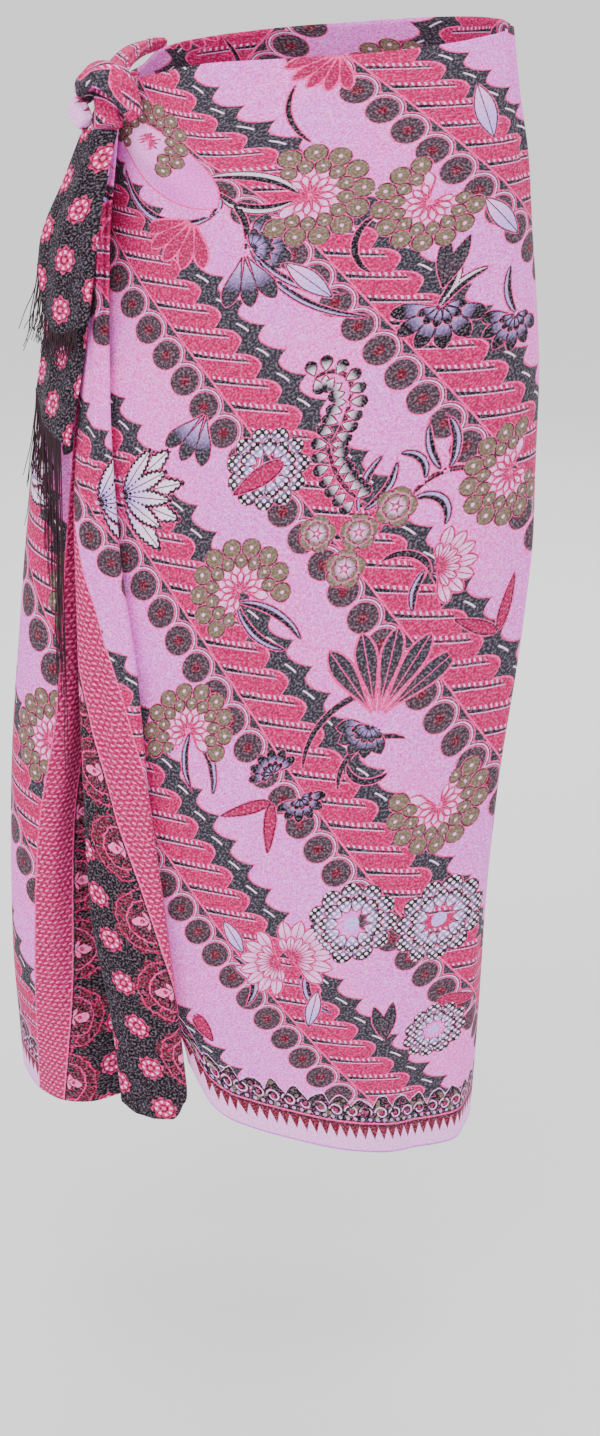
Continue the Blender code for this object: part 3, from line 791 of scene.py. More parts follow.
def make_band(name, rows, pleats, depth, start, hem):
    """A rolled band of the knot as a closed sheet, its ends drawn in."""
    points = band_points(rows, pleats, depth)
    ends = [points[:1].mean(axis=1, keepdims=True), points[-1:].mean(axis=1, keepdims=True)]
    first, last = (np.broadcast_to(end, points[:1].shape) for end in ends)
    points = np.concatenate([first, points, last])
    long = np.concatenate([[0.0], np.cumsum(np.linalg.norm(np.diff(points.mean(axis=1), axis=0), axis=1))])
    round_it = arc_across(points)
    across = start + round_it
    maps = {
        "Cloth": pair(across * LEAN_X + long[:, None] * LEAN_Y, across * LEAN_Y - long[:, None] * LEAN_X),
        "Edge": pair(long[:, None], round_it - hem),
        "End": pair(np.full(round_it.shape, -1.0), round_it),
    }
    made = make_sheet(name, points, maps, BAND_CLOTH)
    bpy.ops.object.mode_set(mode="EDIT")
    bpy.ops.mesh.select_all(action="SELECT")
    bpy.ops.mesh.remove_doubles(threshold=WELD)
    bpy.ops.mesh.normals_make_consistent(inside=False)
    bpy.ops.object.mode_set(mode="OBJECT")
    made.data.shade_smooth()
    return made


knot_over = make_band("knot_over_roll", KNOT_OVER, pleats=7, depth=0.16, start=0.024, hem=-0.060)
knot_through = make_band("knot_through_roll", KNOT_THROUGH, pleats=6, depth=0.18, start=0.010, hem=-0.060)
knot_tuck = make_band("knot_tuck_roll", KNOT_TUCK, pleats=5, depth=0.16, start=0.020, hem=0.0)
print("knot", [len(o.data.polygons) for o in (knot_over, knot_through, knot_tuck)])

# %% [markdown]
# ## Fringes
#
# The cloth's end threads were left loose below its last weft. They hang as single threads of dark
# dyed cotton, some caught together, some curling away, so each one is drawn by itself.

# %% Fringes
STRIP_BEHIND = 0.0020
STRAND_CLEAR = 0.003
STRAND_STEPS = 14
STRAND_REACH = 0.84
THREAD_HALF = 0.00055
TAIL_FRINGE = table(
    "along  hang   drift",
    (0.00, 0.070, 0.016),
    (0.15, 0.034, 0.006),
    (1.00, 0.022, 0.000),
)
UNDER_FRINGE = table(
    "along  hang   drift",
    (0.00, 0.110, 0.014),
    (0.20, 0.070, 0.006),
    (0.55, 0.150, 0.002),
    (0.80, 0.290, 0.004),
    (1.00, 0.200, 0.010),
)


def clear_of_wrap(x, y, drop):
    """The y of a point, moved forward where it has to stand clear of the wrap or the fall."""
    over_fall = x > read(FALL, "left_x", drop) - STRAND_CLEAR
    lift = STRAND_CLEAR + np.where(over_fall, read(FALL, "face", drop) + FALL_BOW, 0.0)
    face = skin(angle_at(x, drop, lift), drop, lift)
    return np.minimum(y, face[:, 1])


def threads(name, hem, shape, count, seed):
    """Loose threads that hang from a hem, as one mesh of fine tubes."""
    rng = np.random.default_rng(seed)
    bpy.ops.object.select_all(action="DESELECT")
    bpy.ops.curve.primitive_bezier_curve_add()
    made = bpy.context.object
    made.name = name
    curve = made.data
    curve.splines.clear()
    curve.bevel_depth = THREAD_HALF
    curve.bevel_resolution = 1
    curve.use_fill_caps = True
    for i in range(count):
        along = STRAND_REACH * (i + rng.uniform(0.1, 0.9)) / count
        at = along * (len(hem) - 1)
        k = int(at)
        root = hem[k] + (hem[k + 1] - hem[k]) * (at - k)
        hang = smooth(along, shape["along"], shape["hang"]) * rng.uniform(0.60, 1.0)
        drift = smooth(along, shape["along"], shape["drift"])
        t = np.linspace(0.0, 1.0, STRAND_STEPS + 1)
        sway = rng.uniform(-0.0022, 0.0022) * np.sin(math.pi * t * rng.uniform(1.0, 2.6)) * np.sqrt(t)
        curl = rng.uniform(0.0002, 0.0009) * np.sin(t * rng.uniform(9.0, 18.0) + rng.uniform(0.0, 6.0)) * t
        x = root[0] + sway + curl - drift * t**1.5
        drop = -root[2] + hang * t - 0.002
        y = clear_of_wrap(x, np.full(len(t), root[1] + STRIP_BEHIND), drop)
        spline = curve.splines.new("POLY")
        spline.points.add(STRAND_STEPS)
        flat = np.stack([x, y, -drop, np.ones(len(t))], axis=1)
        spline.points.foreach_set("co", flat.ravel())
        spline.points.foreach_set("radius", 1.0 - 0.45 * t)
    bpy.ops.object.convert(target="MESH")
    made = bpy.context.object
    made.location = (0.0, 0.0, 0.0)
    return made


tail_threads = threads("tail_threads", tail_hem[::-1], TAIL_FRINGE, count=60, seed=3)
under_threads = threads("under_threads", under_hem[::-1], UNDER_FRINGE, count=46, seed=8)
print("threads", len(tail_threads.data.polygons), len(under_threads.data.polygons))

# %% [markdown]
# ## Painting with sums
#
# Wax-resist cloth is coloured in layers: the ground, then one dye bath after another. The materials
# work in the same way: each motif is a sum that says how far inside its outline a point is, and each
# colour is mixed over the last where that sum is positive. A small class lets those sums be written
# as plain Python.

# %% Painting with sums
# How wide a printed colour's edge is, and that of a fine line, in metres
SOFT = 0.0006
FINE = 0.0005


class Num:
    """A number inside a material, which ordinary sums can be written with."""

    def __init__(self, art, socket):
        self.art = art
        self.socket = socket

    def __add__(self, other):
        return self.art.maths("ADD", self, other)

    def __radd__(self, other):
        return self.art.maths("ADD", other, self)

    def __sub__(self, other):
        return self.art.maths("SUBTRACT", self, other)

    def __rsub__(self, other):
        return self.art.maths("SUBTRACT", other, self)

    def __mul__(self, other):
        return self.art.maths("MULTIPLY", self, other)

    def __rmul__(self, other):
        return self.art.maths("MULTIPLY", other, self)

    def __truediv__(self, other):
        return self.art.maths("DIVIDE", self, other)

    def __rtruediv__(self, other):
        return self.art.maths("DIVIDE", other, self)

    def __pow__(self, other):
        return self.art.maths("POWER", self, other)

    def __neg__(self):
        return self.art.maths("MULTIPLY", self, -1.0)

    def __abs__(self):
        return self.art.maths("ABSOLUTE", self)


class Art:
    """One material, with the few kinds of node that the print needs."""

    def __init__(self, name):
        self.material = bpy.data.materials.new(name)
        self.material.use_nodes = True
        self.tree = self.material.node_tree
        self.shader = self.tree.nodes["Principled BSDF"]
        self.shader.inputs["Metallic"].default_value = 0.0

    def node(self, kind, inputs=(), output=0, **settings):
        """Any node, with its inputs by name or place, and one of its outputs as the answer."""
        made = self.tree.nodes.new("ShaderNode" + kind)
        for key, value in settings.items():
            setattr(made, key, value)
        for key, value in dict(inputs).items():
            if isinstance(value, Num):
                self.tree.links.new(value.socket, made.inputs[key])
            else:
                made.inputs[key].default_value = value
        return Num(self, made.outputs[output])

    def maths(self, operation, *values, clamp=False):
        return self.node("Math", enumerate(values), operation=operation, use_clamp=clamp)

    def mix(self, under, over, amount):
        """One colour over another by an amount."""
        inputs = {0: amount, 6: under, 7: over}
        return self.node("Mix", inputs, 2, data_type="RGBA")

    def coats(self, under, *coats):
        """Colours laid over one another, each by its amount."""
        for over, amount in coats:
            under = self.mix(under, over, amount)
        return under

    def uv(self, name):
        """Both coordinates of a UV map, in metres."""
        both = self.node("UVMap", uv_map=name)
        apart = self.node("SeparateXYZ", {0: both})
        return apart, Num(self, apart.socket.node.outputs[1])

    def kept(self, name):
        """The three numbers kept on each face under a name."""
        both = self.node("Attribute", output=1, attribute_name=name)
        apart = self.node("SeparateXYZ", {0: both}).socket.node
        return [Num(self, out) for out in apart.outputs]

    def colour(self, name):
        return self.node("Attribute", attribute_name=name)

    def point(self, x, y):
        return self.node("CombineXYZ", {0: x, 1: y})

    def noise(self, x, y, scale, detail=2.0, twist=0.0):
        place = {"Vector": self.point(x, y), "Scale": scale, "Detail": detail, "Distortion": twist}
        return self.node("TexNoise", place)

    def most(self, a, b):
        return self.maths("MAXIMUM", a, b)

    def least(self, a, b):
        return self.maths("MINIMUM", a, b)

    def inside(self, depth, soft=SOFT):
        """1 where a depth is positive and 0 where it is negative, over a soft edge."""
        return self.maths("MULTIPLY_ADD", depth, 1.0 / soft, 0.5, clamp=True)

    def near(self, value, at, half, soft=SOFT):
        """1 where a value is within half of another."""
        return self.inside(half - abs(value - at), soft)

    def cell(self, value, pitch):
        """The nearest whole number of pitches, and how far the value is from it."""
        count = self.maths("ROUND", value / pitch)
        return count, value - count * pitch

    def length(self, x, y):
        return self.maths("SQRT", x * x + y * y)


def rgb(red, green, blue):
    """A colour as the photograph shows it, from 0 to 255, turned into light."""
    light = [((c / 255 + 0.055) / 1.055) ** 2.4 if c > 10 else c / 255 / 12.92 for c in (red, green, blue)]
    return (*light, 1.0)


PINK = rgb(250, 106, 230)
LILAC = rgb(228, 112, 252)
PINK_DEEP = rgb(246, 40, 182)
PALE = rgb(252, 176, 244)
BLUSH = rgb(236, 56, 140)
CRIMSON = rgb(172, 0, 82)
CRIMSON_DARK = rgb(112, 6, 36)
ROSE = rgb(208, 0, 102)
SALMON = rgb(250, 66, 150)
WINE = rgb(66, 10, 34)
CHARCOAL = rgb(44, 42, 52)
INK = rgb(14, 8, 16)
ASH = rgb(72, 50, 62)
KHAKI = rgb(114, 96, 76)
LAVENDER = rgb(206, 164, 250)
BLOOM = rgb(250, 110, 180)
CREAM = rgb(252, 222, 250)

# %% [markdown]
# ## The field's print
#
# The main field has diagonal bands of the old sword pattern, and bouquets, flowers and leaves
# between them. The worn cloth is drawn sideways and turned a little towards the knot, so the print's
# own coordinates are worked out from the sheet's first.

# %% The field's print
TONGUE_LEAN = 1.07
LINE_SET = 0.0032
NOTCH_OVER = 0.0405
NOTCH_DOWN = 0.0077
TIP_LONG = 0.0101
LOBE_OVER = 0.0612
LOBE_DOWN = 0.0053
SPIKE_LONG = 0.0096
DISC = 0.0109


def paint_parang(art, x, y, under):
    """The sword bands: discs down each diagonal, each with a tongue and a dark stepped edge."""
    down = (x * ROW_SHIFT - y * ROW_DOWN) / DIAGONAL
    over = (x * ROW_DOWN + y * ROW_SHIFT) / DIAGONAL
    band = art.maths("FLOOR", (over + 0.018) / BAND_PITCH)
    over = over - band * BAND_PITCH

    # The dark ground, up to a stepped edge of round pink lobes and short spikes
    step = art.maths("FRACT", (down - LOBE_DOWN) / DIAGONAL)
    curve = art.most(1.0 - step * 3.4, 0.0)
    ramp = art.most(step - 0.25, 0.0) * 1.333
    edge = LOBE_OVER - 0.0022 + SPIKE_LONG * (ramp * ramp + curve * curve * curve)
    dark = art.least((edge - over) * 0.75, over - 0.010)
    colour = art.mix(under, BLUSH, art.inside(dark + 0.0009))
    colour = art.mix(colour, CHARCOAL, art.inside(dark))

    # One short pale dash in each row
    _, dash_down = art.cell(down - 0.0207, DIAGONAL)
    dash_over = over - 0.0562 - 0.28 * dash_down + 16.0 * dash_down * dash_down
    dash = art.least(0.0006 - abs(dash_over), 0.0052 - abs(dash_down))
    colour = art.mix(colour, CREAM, art.inside(dash))

    # The tongue: a pink outline round crimson, stepped and rounded at its end
    rise = art.maths("FRACT", (down - NOTCH_DOWN) / DIAGONAL)
    swell = art.maths("SINE", art.least(rise * 2.4, math.pi / 2))
    drop = art.most(rise - 0.66, 0.0) * 2.941
    reach = NOTCH_OVER + TIP_LONG * art.least(swell, 1.0 - drop * drop * drop)
    depth = art.least((reach - over) * 0.85, over - 0.0150)
    colour = art.mix(colour, SALMON, art.inside(depth))
    worn = art.noise(x, y, 260.0, 2.0)
    crimson = art.mix(CRIMSON, ROSE, art.inside(worn - 0.52, 0.25))
    colour = art.mix(colour, crimson, art.inside(depth - 0.0013, 0.0007))

    # Along each tongue a dark line, thick at its root, with slanted ticks above and beads below
    _, row = art.cell(down - TONGUE_LEAN * over + LINE_SET, DIAGONAL)
    row = row / 1.456
    in_line = art.least(depth - 0.0016, 0.0440 - over)
    share = art.most(0.0300 - over, 0.0) / 0.0150
    _, tick = art.cell(over * 1.45 + row * 0.55, 0.0042)
    tick_depth = art.least(0.00075 - abs(tick), 0.0013 - abs(row + 0.0024))
    colour = art.mix(colour, PALE, art.inside(art.least(tick_depth, in_line)))
    line = 0.0008 + 0.0011 * share - abs(row + 0.0004 * share)
    colour = art.mix(colour, ASH, art.inside(art.least(line, in_line), FINE))
    colour = art.mix(colour, INK, art.inside(art.least(line - 0.0006, in_line), FINE))
    _, bead = art.cell(over * 1.45, 0.0022)
    beads = 0.0005 - 0.35 * abs(bead) - abs(row - 0.0014)
    colour = art.mix(colour, PALE, art.inside(art.least(beads, in_line), FINE))

    # The disc, and the arcs round its upper right
    _, beside = art.cell(down, DIAGONAL)
    radius = art.length(beside, over)
    arc_side = art.inside(over - 0.0015 - abs(beside) * 0.20, 0.001)
    colour = art.coats(
        colour,
        (CHARCOAL, art.inside(0.0152 - radius) * arc_side),
        (SALMON, art.near(radius, 0.0146, 0.00045, FINE) * arc_side),
        (PALE, art.near(radius, 0.0128, 0.0005, FINE) * arc_side),
        (SALMON, art.inside(0.0117 - radius)),
    )
    heart = art.noise(x, y, 420.0, 1.0)
    disc = art.mix(ASH, CRIMSON_DARK, art.inside(0.0036 - radius, 0.0022))
    disc = art.mix(disc, INK, art.inside(heart - 0.55, 0.15) * 0.5)
    return art.mix(colour, disc, art.inside(DISC - radius))


def petals(art, x, y, turn, size, count, fan, form, width):
    """How deep a point is in a ring of petals, its share along one, its way off the vein and its radius."""
    inner, belly, blunt = form
    radius = art.length(x, y) / size
    around = art.maths("WRAP", art.maths("ARCTAN2", y, x) - turn, math.pi, -math.pi)
    step = 2.0 * fan / count
    place = art.maths("FLOOR", (around + fan) / step)
    place = art.least(art.most(place, 0.0), count - 1.0)
    off = around + fan - (place + 0.5) * step
    along = radius * art.maths("COSINE", off)
    across = abs(radius * art.maths("SINE", off))
    share = (along - inner) / (1.0 - inner)
    held = art.least(art.most(share, 0.0), 1.0)
    swell = width * art.maths("SINE", held**belly * math.pi) ** blunt
    outside = art.most(abs(share - 0.5) - 0.5, 0.0)
    return (swell - across - outside) * size, share, across * size, radius


def paint_ring(art, x, y, layer, under):
    """Rings or fans of petals or leaves, by the numbers kept on each face for one layer of motifs."""
    px, py, turn = art.kept("place" + layer)
    size, count, fan = art.kept("ring" + layer)
    inner, belly, blunt = form = art.kept("form" + layer)
    width, vein, dot = art.kept("mark" + layer)
    fill, rim, core = (art.colour(part + layer) for part in ("fill", "rim", "core"))
    dx, dy = x - px, y - py
    there = art.inside(size - 0.001, FINE)
    colour = under
    jagged = art.inside(dot - 2.5, 0.1)
    echo = art.colour("echo" + layer)
    echo_size = art.node("SeparateXYZ", {0: echo})
    for shrink, shift in ((1.0, 0.0), (echo_size, 1.0)):
        turned = turn + shift * fan / count
        depth, share, across, radius = petals(art, dx, dy, turned, size * shrink, count, fan, form, width)
        depth = depth + jagged * (0.0006 * art.maths("COSINE", share * 70.0))
        shown = there * art.inside(shrink - 0.02, 0.01) if shift else there
        colour = art.mix(colour, BLUSH, art.inside(depth + 0.0012, FINE) * shown)
        colour = art.mix(colour, rim, art.inside(depth + 0.0005, FINE) * shown)
        body = art.mix(core, fill, art.inside(share - 0.42, 0.55))
        body = art.mix(body, rim, art.inside(0.0004 - across, 0.0004) * vein)
        spot = art.length((share - 0.58) * size * (1.0 - inner), across)
        spotted = art.inside(0.5 - abs(dot - 1.0), 0.1)
        body = art.mix(body, PALE, art.inside(0.0013 - spot) * spotted)
        _, speck = art.cell(dx + dy, 0.0058)
        _, side = art.cell(dx - dy, 0.0058)
        specks = art.inside(0.0019 - art.length(speck, side))
        body = art.mix(body, CREAM, specks * art.inside(0.5 - abs(dot - 2.0), 0.1))
        inside = depth - 0.0005 - 0.0012 * jagged
        colour = art.mix(colour, body, art.inside(inside, FINE) * shown)
    heart = art.inside((inner * 0.55 - radius) * size * echo_size) * there
    return art.mix(colour, core, heart * art.inside(0.5 - inner, 0.01) * art.inside(inner - 0.05, 0.01))


def paint_strokes(art, x, y, under):
    """Curved stems and long curled leaves: part of a ring, thick at its middle, with fine cross strokes."""
    px, py, turn = art.kept("placeS")
    ring, span, half = art.kept("ringS")
    fill = art.colour("fillS")
    dx, dy = x - px, y - py
    radius = art.length(dx, dy)
    around = art.maths("WRAP", art.maths("ARCTAN2", dy, dx) - turn, math.pi, -math.pi)
    share = art.least(abs(around) / span, 1.0)
    thick = half * art.maths("SQRT", 1.0 - share * share)
    depth = thick - abs(radius - ring)
    there = art.inside(half - 0.0002, 0.0001) * art.inside(0.999 - share, 0.02)
    colour = art.mix(under, BLUSH, art.inside(depth + 0.0008, FINE) * there)
    colour = art.mix(colour, INK, art.inside(depth, FINE) * there)
    _, stripe = art.cell(around * ring + (radius - ring) * 0.8, 0.0017)
    striped = art.mix(fill, INK, art.inside(0.0003 - abs(stripe), 0.0003) * 0.6)
    outer_half = art.inside(radius - ring, 0.0008)
    return art.mix(colour, striped, art.inside(depth - 0.0010, FINE) * outer_half * there)


# Turns of the weave's sine in each metre, and how far the bump stands
WEAVE = 5200.0
WEAVE_BUMP = 0.00025


def cloth_shader(art, colour, x, y):
    """Dull, soft cotton with a fine weave and small creases."""
    crinkle = art.noise(x, y, 55.0, 4.0)
    warp = art.maths("SINE", x * WEAVE)
    weft = art.maths("SINE", y * WEAVE)
    height = crinkle * 2.2 + warp * weft * 0.12
    raised = art.node("Bump", {"Strength": 0.35, "Distance": WEAVE_BUMP, "Height": height})
    art.tree.links.new(raised.socket, art.shader.inputs["Normal"])
    art.tree.links.new(colour.socket, art.shader.inputs["Base Color"])
    art.shader.inputs["Roughness"].default_value = 0.82
    art.shader.inputs["Specular IOR Level"].default_value = 0.12
    art.shader.inputs["Sheen Weight"].default_value = 0.03
    art.shader.inputs["Sheen Roughness"].default_value = 0.5


def ground(art, x, y):
    """The pink ground, mottled where the dye took unevenly and covered with fine drawn curls."""
    broad = art.noise(x, y, 11.0, 2.0)
    colour = art.mix(LILAC, PINK, art.inside(broad - 0.5, 0.22))
    curls = art.noise(x, y, 340.0, 1.0, 2.0)
    colour = art.mix(colour, PINK_DEEP, art.near(curls, 0.40, 0.040, 0.05) * 0.95)
    colour = art.mix(colour, PINK_DEEP, art.near(curls, 0.62, 0.030, 0.04) * 0.9)
    return art.mix(colour, PALE, art.near(curls, 0.51, 0.045, 0.04) * 0.9)


def paint_hem(art, along, up, under):
    """The hem's border: a plain edge, a row of points, two lines and a dark leafy band."""
    wave = art.noise(along, up * 0.4, 70.0, 2.0)
    _, bump = art.cell(along, 0.0175)
    top = 0.0515 - 120.0 * bump * bump + (wave - 0.5) * 0.016
    colour = art.mix(under, PALE, art.inside(top + 0.0010 - up))
    colour = art.mix(colour, INK, art.inside(top - up))
    _, cx = art.cell(along + 0.004, 0.0125)
    _, cy = art.cell(up - 0.0380, 0.0500)
    swirl = art.length(cx, cy)
    turned = art.maths("ARCTAN2", cy, cx)
    curl = art.near(swirl, 0.0042 + turned * 0.0004, 0.0006, FINE)
    leafy = art.noise(along + 3.0, up, 130.0, 1.0)
    in_leaves = art.inside(top - 0.0020 - up, 0.0010)
    in_curls = art.inside(top - 0.0030 - up, 0.0010) * art.inside(wave - 0.42, 0.1)
    colour = art.coats(
        colour,
        (KHAKI, art.inside(leafy - 0.60, 0.03) * in_leaves),
        (SALMON, art.near(leafy, 0.40, 0.008, 0.02) * in_leaves),
        (PALE, curl * in_curls),
        (CRIMSON, art.inside(art.least(0.0016 - swirl, top - 0.0030 - up))),
    )
    _, dot_x = art.cell(along + 0.0005, 0.0062)
    dots = art.length(dot_x, up - 0.0312)
    colour = art.coats(
        colour,
        (LAVENDER, art.near(dots, 0.0009, 0.0005, FINE)),
        (SALMON, art.inside(0.0284 - up, FINE)),
        (WINE, art.inside(0.0268 - up, FINE)),
        (PALE, art.inside(0.0240 - up, FINE)),
    )
    _, point = art.cell(along, 0.0081)
    tooth = (up - 0.0120) * 0.335 - abs(point)
    colour = art.mix(colour, CRIMSON_DARK, art.inside(art.least(tooth, 0.0246 - up)))
    return art.mix(colour, LILAC, art.inside(0.0016 - up))


def paint_end(art, k, w, under):
    """The patterned end: a dotted band, a scalloped border of flowers, and medallions on a dark field."""
    colour = art.mix(under, INK, art.inside(k - 0.0320, 0.0008))

    # Rice grains in staggered rows
    row_count, grain_y = art.cell(w, 0.0042)
    stagger = art.maths("PINGPONG", row_count, 1.0) * 0.0026
    _, grain_x = art.cell(k + stagger, 0.0052)
    grain = 1.0 - art.length(grain_x / 0.0018, (grain_y - grain_x * 0.30) / 0.0010)
    dotted = art.mix(CRIMSON, BLOOM, art.inside(grain - 0.1, 0.6))
    in_band = art.inside(k) * art.inside(0.0330 - k)

    # Scallops of serrated wine leaves, with a small pale flower in each
    sway = art.noise(k, w, 95.0, 2.0) - 0.5
    _, head = art.cell(w, 0.0600)
    rise = k - 0.0350
    reach = art.length(head, rise) + sway * 0.007
    turn = art.maths("ARCTAN2", head, rise) + sway * 0.9
    frill = 0.0290 + 0.0022 * art.maths("COSINE", turn * 17.0)
    far = art.inside(reach - 0.0175, 0.001)
    leaf = art.maths("COSINE", turn * 9.0 + far * 3.1)
    rib = art.maths("COSINE", turn * 40.0 + reach * 1500.0)
    scallop = art.mix(WINE, CRIMSON_DARK, art.inside(rib, 0.6))
    scallop = art.coats(
        scallop,
        (ROSE, art.near(leaf, -0.55, 0.10, 0.25) * 0.9),
        (INK, art.inside(-0.80 - leaf, 0.12)),
        (ROSE, art.near(reach, 0.0262, 0.0005, 0.0008)),
        (BLUSH, art.near(reach, 0.0175, 0.0005, 0.0008)),
        (INK, art.near(reach, 0.0110, 0.0008, 0.0010)),
    )
    bloom = 0.0056 + 0.0024 * art.maths("COSINE", turn * 5.0)
    flower = art.length(head, rise - 0.0060)
    scallop = art.mix(scallop, BLOOM, art.inside(bloom - flower))
    scallop = art.mix(scallop, CRIMSON, art.inside(0.0018 - flower))
    colour = art.mix(colour, scallop, art.inside(frill - reach) * art.inside(rise))

    # Medallions on the dark field beyond
    count, mx = art.cell(k - 0.0730, 0.0330)
    shift = art.maths("PINGPONG", count, 1.0) * 0.0180
    _, my = art.cell(w + shift + 0.0300, 0.0360)
    reach = art.length(mx, my)
    turn = art.maths("ARCTAN2", my, mx)
    rim = 0.0095 + 0.0010 * art.maths("COSINE", turn * 8.0)
    field = art.inside(k - 0.0620, 0.001)
    colour = art.mix(colour, ROSE, art.inside(rim - reach) * field)
    colour = art.mix(colour, CRIMSON_DARK, art.near(reach, 0.0078, 0.0006) * field)
    spoke = art.maths("COSINE", turn * 8.0)
    petal = art.near(reach, 0.0057, 0.0012) * art.inside(spoke - 0.2, 0.3)
    colour = art.coats(
        colour,
        (PALE, petal * field),
        (CRIMSON_DARK, art.inside(0.0034 - reach) * field),
        (SALMON, art.inside(0.0018 - reach) * field),
    )
    _, small_x = art.cell(k - 0.0565, 0.0330)
    _, small_y = art.cell(w + shift + 0.0300, 0.0180)
    small = art.length(small_x, small_y)
    colour = art.mix(colour, CHARCOAL, art.near(small, 0.0030, 0.0012, 0.0010) * field * 0.8)
    colour = art.mix(colour, dotted, in_band)
    lines = art.most(art.near(k, 0.0004, 0.0006, 0.0004), art.near(k, 0.0330, 0.0007, 0.0004))
    return art.mix(colour, SALMON, lines)


def print_material(name):
    """The whole print: ground, sword bands, motifs, the hem's border and the patterned end."""
    art = Art(name)
    x, y = art.uv("Cloth")
    colour = ground(art, x, y)
    colour = paint_parang(art, x, y, colour)
    colour = paint_strokes(art, x, y, colour)
    for layer in "BA":
        colour = paint_ring(art, x, y, layer, colour)
    along, up = art.uv("Edge")
    colour = paint_hem(art, along, up, colour)
    k, w = art.uv("End")
    colour = art.mix(colour, paint_end(art, k, w, colour), art.inside(k))
    worn = art.noise(x, y, 560.0, 2.0)
    colour = art.mix(colour, INK, art.inside(worn - 0.52, 0.16) * 0.20)
    colour = art.mix(colour, CREAM, art.inside(0.44 - worn, 0.16) * 0.12)
    cloth_shader(art, colour, x, y)
    return art.material


# %% [markdown]
# ## Motifs
#
# Bouquets, rosettes, fans of leaves and small flowers lie between and over the bands. Each is a ring
# or fan with its own count of petals, drawn afresh for this cloth. A motif's numbers are kept on the
# faces it covers, so one sum paints them all.

# %% Motifs
FULL = math.pi
# Each kind has a count of petals, half the turn that they fan over, where along the radius they start,
# where they are widest, how blunt and how wide they are, the size of the smaller ring that echoes them,
# 1 for a vein, 1 to 3 for a spot, specks or a toothed edge, and the colours of body, rim and root
LOOKS = "count fan inner belly blunt width echo vein dot fill rim core".split()
KINDS = {
    "bouquet": (10, 2.35, 0.60, 1.2, 0.5, 0.175, 0.70, 0, 1, KHAKI, WINE, KHAKI),
    "stamens": (10, 2.5, 0.20, 1.9, 0.8, 0.15, 0.62, 0, 0, PALE, CRIMSON, SALMON),
    "rosette": (5, FULL, 0.24, 1.3, 0.5, 0.46, 0.66, 0, 0, KHAKI, CRIMSON_DARK, PALE),
    "dotted": (11, FULL, 0.42, 1.3, 0.5, 0.22, 0.72, 0, 2, INK, INK, LAVENDER),
    "leaf_fan": (5, 1.25, 0.10, 1.5, 0.8, 0.20, 0.55, 1, 0, CHARCOAL, INK, LAVENDER),
    "hanging": (3, 0.62, 0.10, 1.9, 0.7, 0.138, 0.0, 0, 0, CHARCOAL, WINE, LAVENDER),
    "tulip": (5, 0.95, 0.12, 1.7, 0.6, 0.128, 0.0, 0, 0, CRIMSON, SALMON, CRIMSON),
    "drop": (2, 1.30, 0.03, 0.7, 0.8, 0.11, 0.0, 0, 0, CRIMSON, WINE, CRIMSON),
    "bud": (1, 0.40, 0.03, 0.7, 0.8, 0.15, 0.0, 0, 0, CRIMSON, WINE, CRIMSON),
    "lotus": (7, 1.45, 0.16, 1.7, 0.75, 0.150, 0.6, 1, 0, PALE, CRIMSON, ROSE),
    "grey": (6, 1.60, 0.14, 1.7, 0.7, 0.165, 0.50, 0, 0, INK, INK, LAVENDER),
    "fern": (2, FULL, 0.12, 1.5, 0.6, 0.30, 0.0, 0, 0, INK, INK, CREAM),
    "palm": (5, 0.95, 0.10, 1.9, 0.7, 0.115, 0.0, 1, 0, CHARCOAL, BLUSH, ASH),
    "flap": (1, 0.60, 0.02, 1.35, 0.75, 0.205, 0.0, 0, 0, PINK, SALMON, PALE),
    "white_leaf": (4, 1.05, 0.06, 1.0, 0.8, 0.15, 0.80, 1, 3, CREAM, INK, LAVENDER),
    "leaf": (1, 0.40, 0.02, 1.0, 0.9, 0.15, 0.0, 1, 0, LAVENDER, CHARCOAL, PALE),
    "dark_leaf": (2, 0.40, 0.02, 1.1, 0.9, 0.12, 0.0, 1, 0, CHARCOAL, INK, ASH),
}
KINDS = {kind: dict(zip(LOOKS, row)) for kind, row in KINDS.items()}
# Kind, place across and up the print, size and turn in degrees
FLOWERS = (
    ("bouquet", 0.112, 0.103, 0.042, 350),
    ("bouquet", 0.190, 0.088, 0.038, 225),
    ("bouquet", 0.268, -0.122, 0.036, 200),
    ("bouquet", 0.088, -0.189, 0.038, 120),
    ("bouquet", 0.060, -0.292, 0.036, 90),
    ("bouquet", 0.258, -0.350, 0.038, 290),
    ("bouquet", 0.000, 0.160, 0.036, 55),
    ("rosette", 0.192, -0.133, 0.014, 0),
    ("rosette", 0.169, -0.149, 0.013, 20),
    ("rosette", 0.140, -0.149, 0.013, 5),
    ("rosette", 0.162, -0.174, 0.014, 12),
    ("dotted", 0.208, -0.439, 0.034, 0),
    ("bud", 0.112, -0.097, 0.042, 214),
    ("dotted", 0.276, -0.445, 0.036, 14),
    ("dotted", 0.288, -0.549, 0.026, 0),
    ("grey", 0.205, 0.008, 0.033, 262),
    ("grey", 0.258, -0.010, 0.026, 250),
    ("grey", 0.132, -0.321, 0.019, 120),
    ("grey", 0.155, -0.338, 0.019, 290),
    ("lotus", 0.224, -0.178, 0.028, 5),
    ("lotus", 0.165, -0.471, 0.034, 35),
    ("lotus", 0.157, -0.473, 0.032, 200),
)
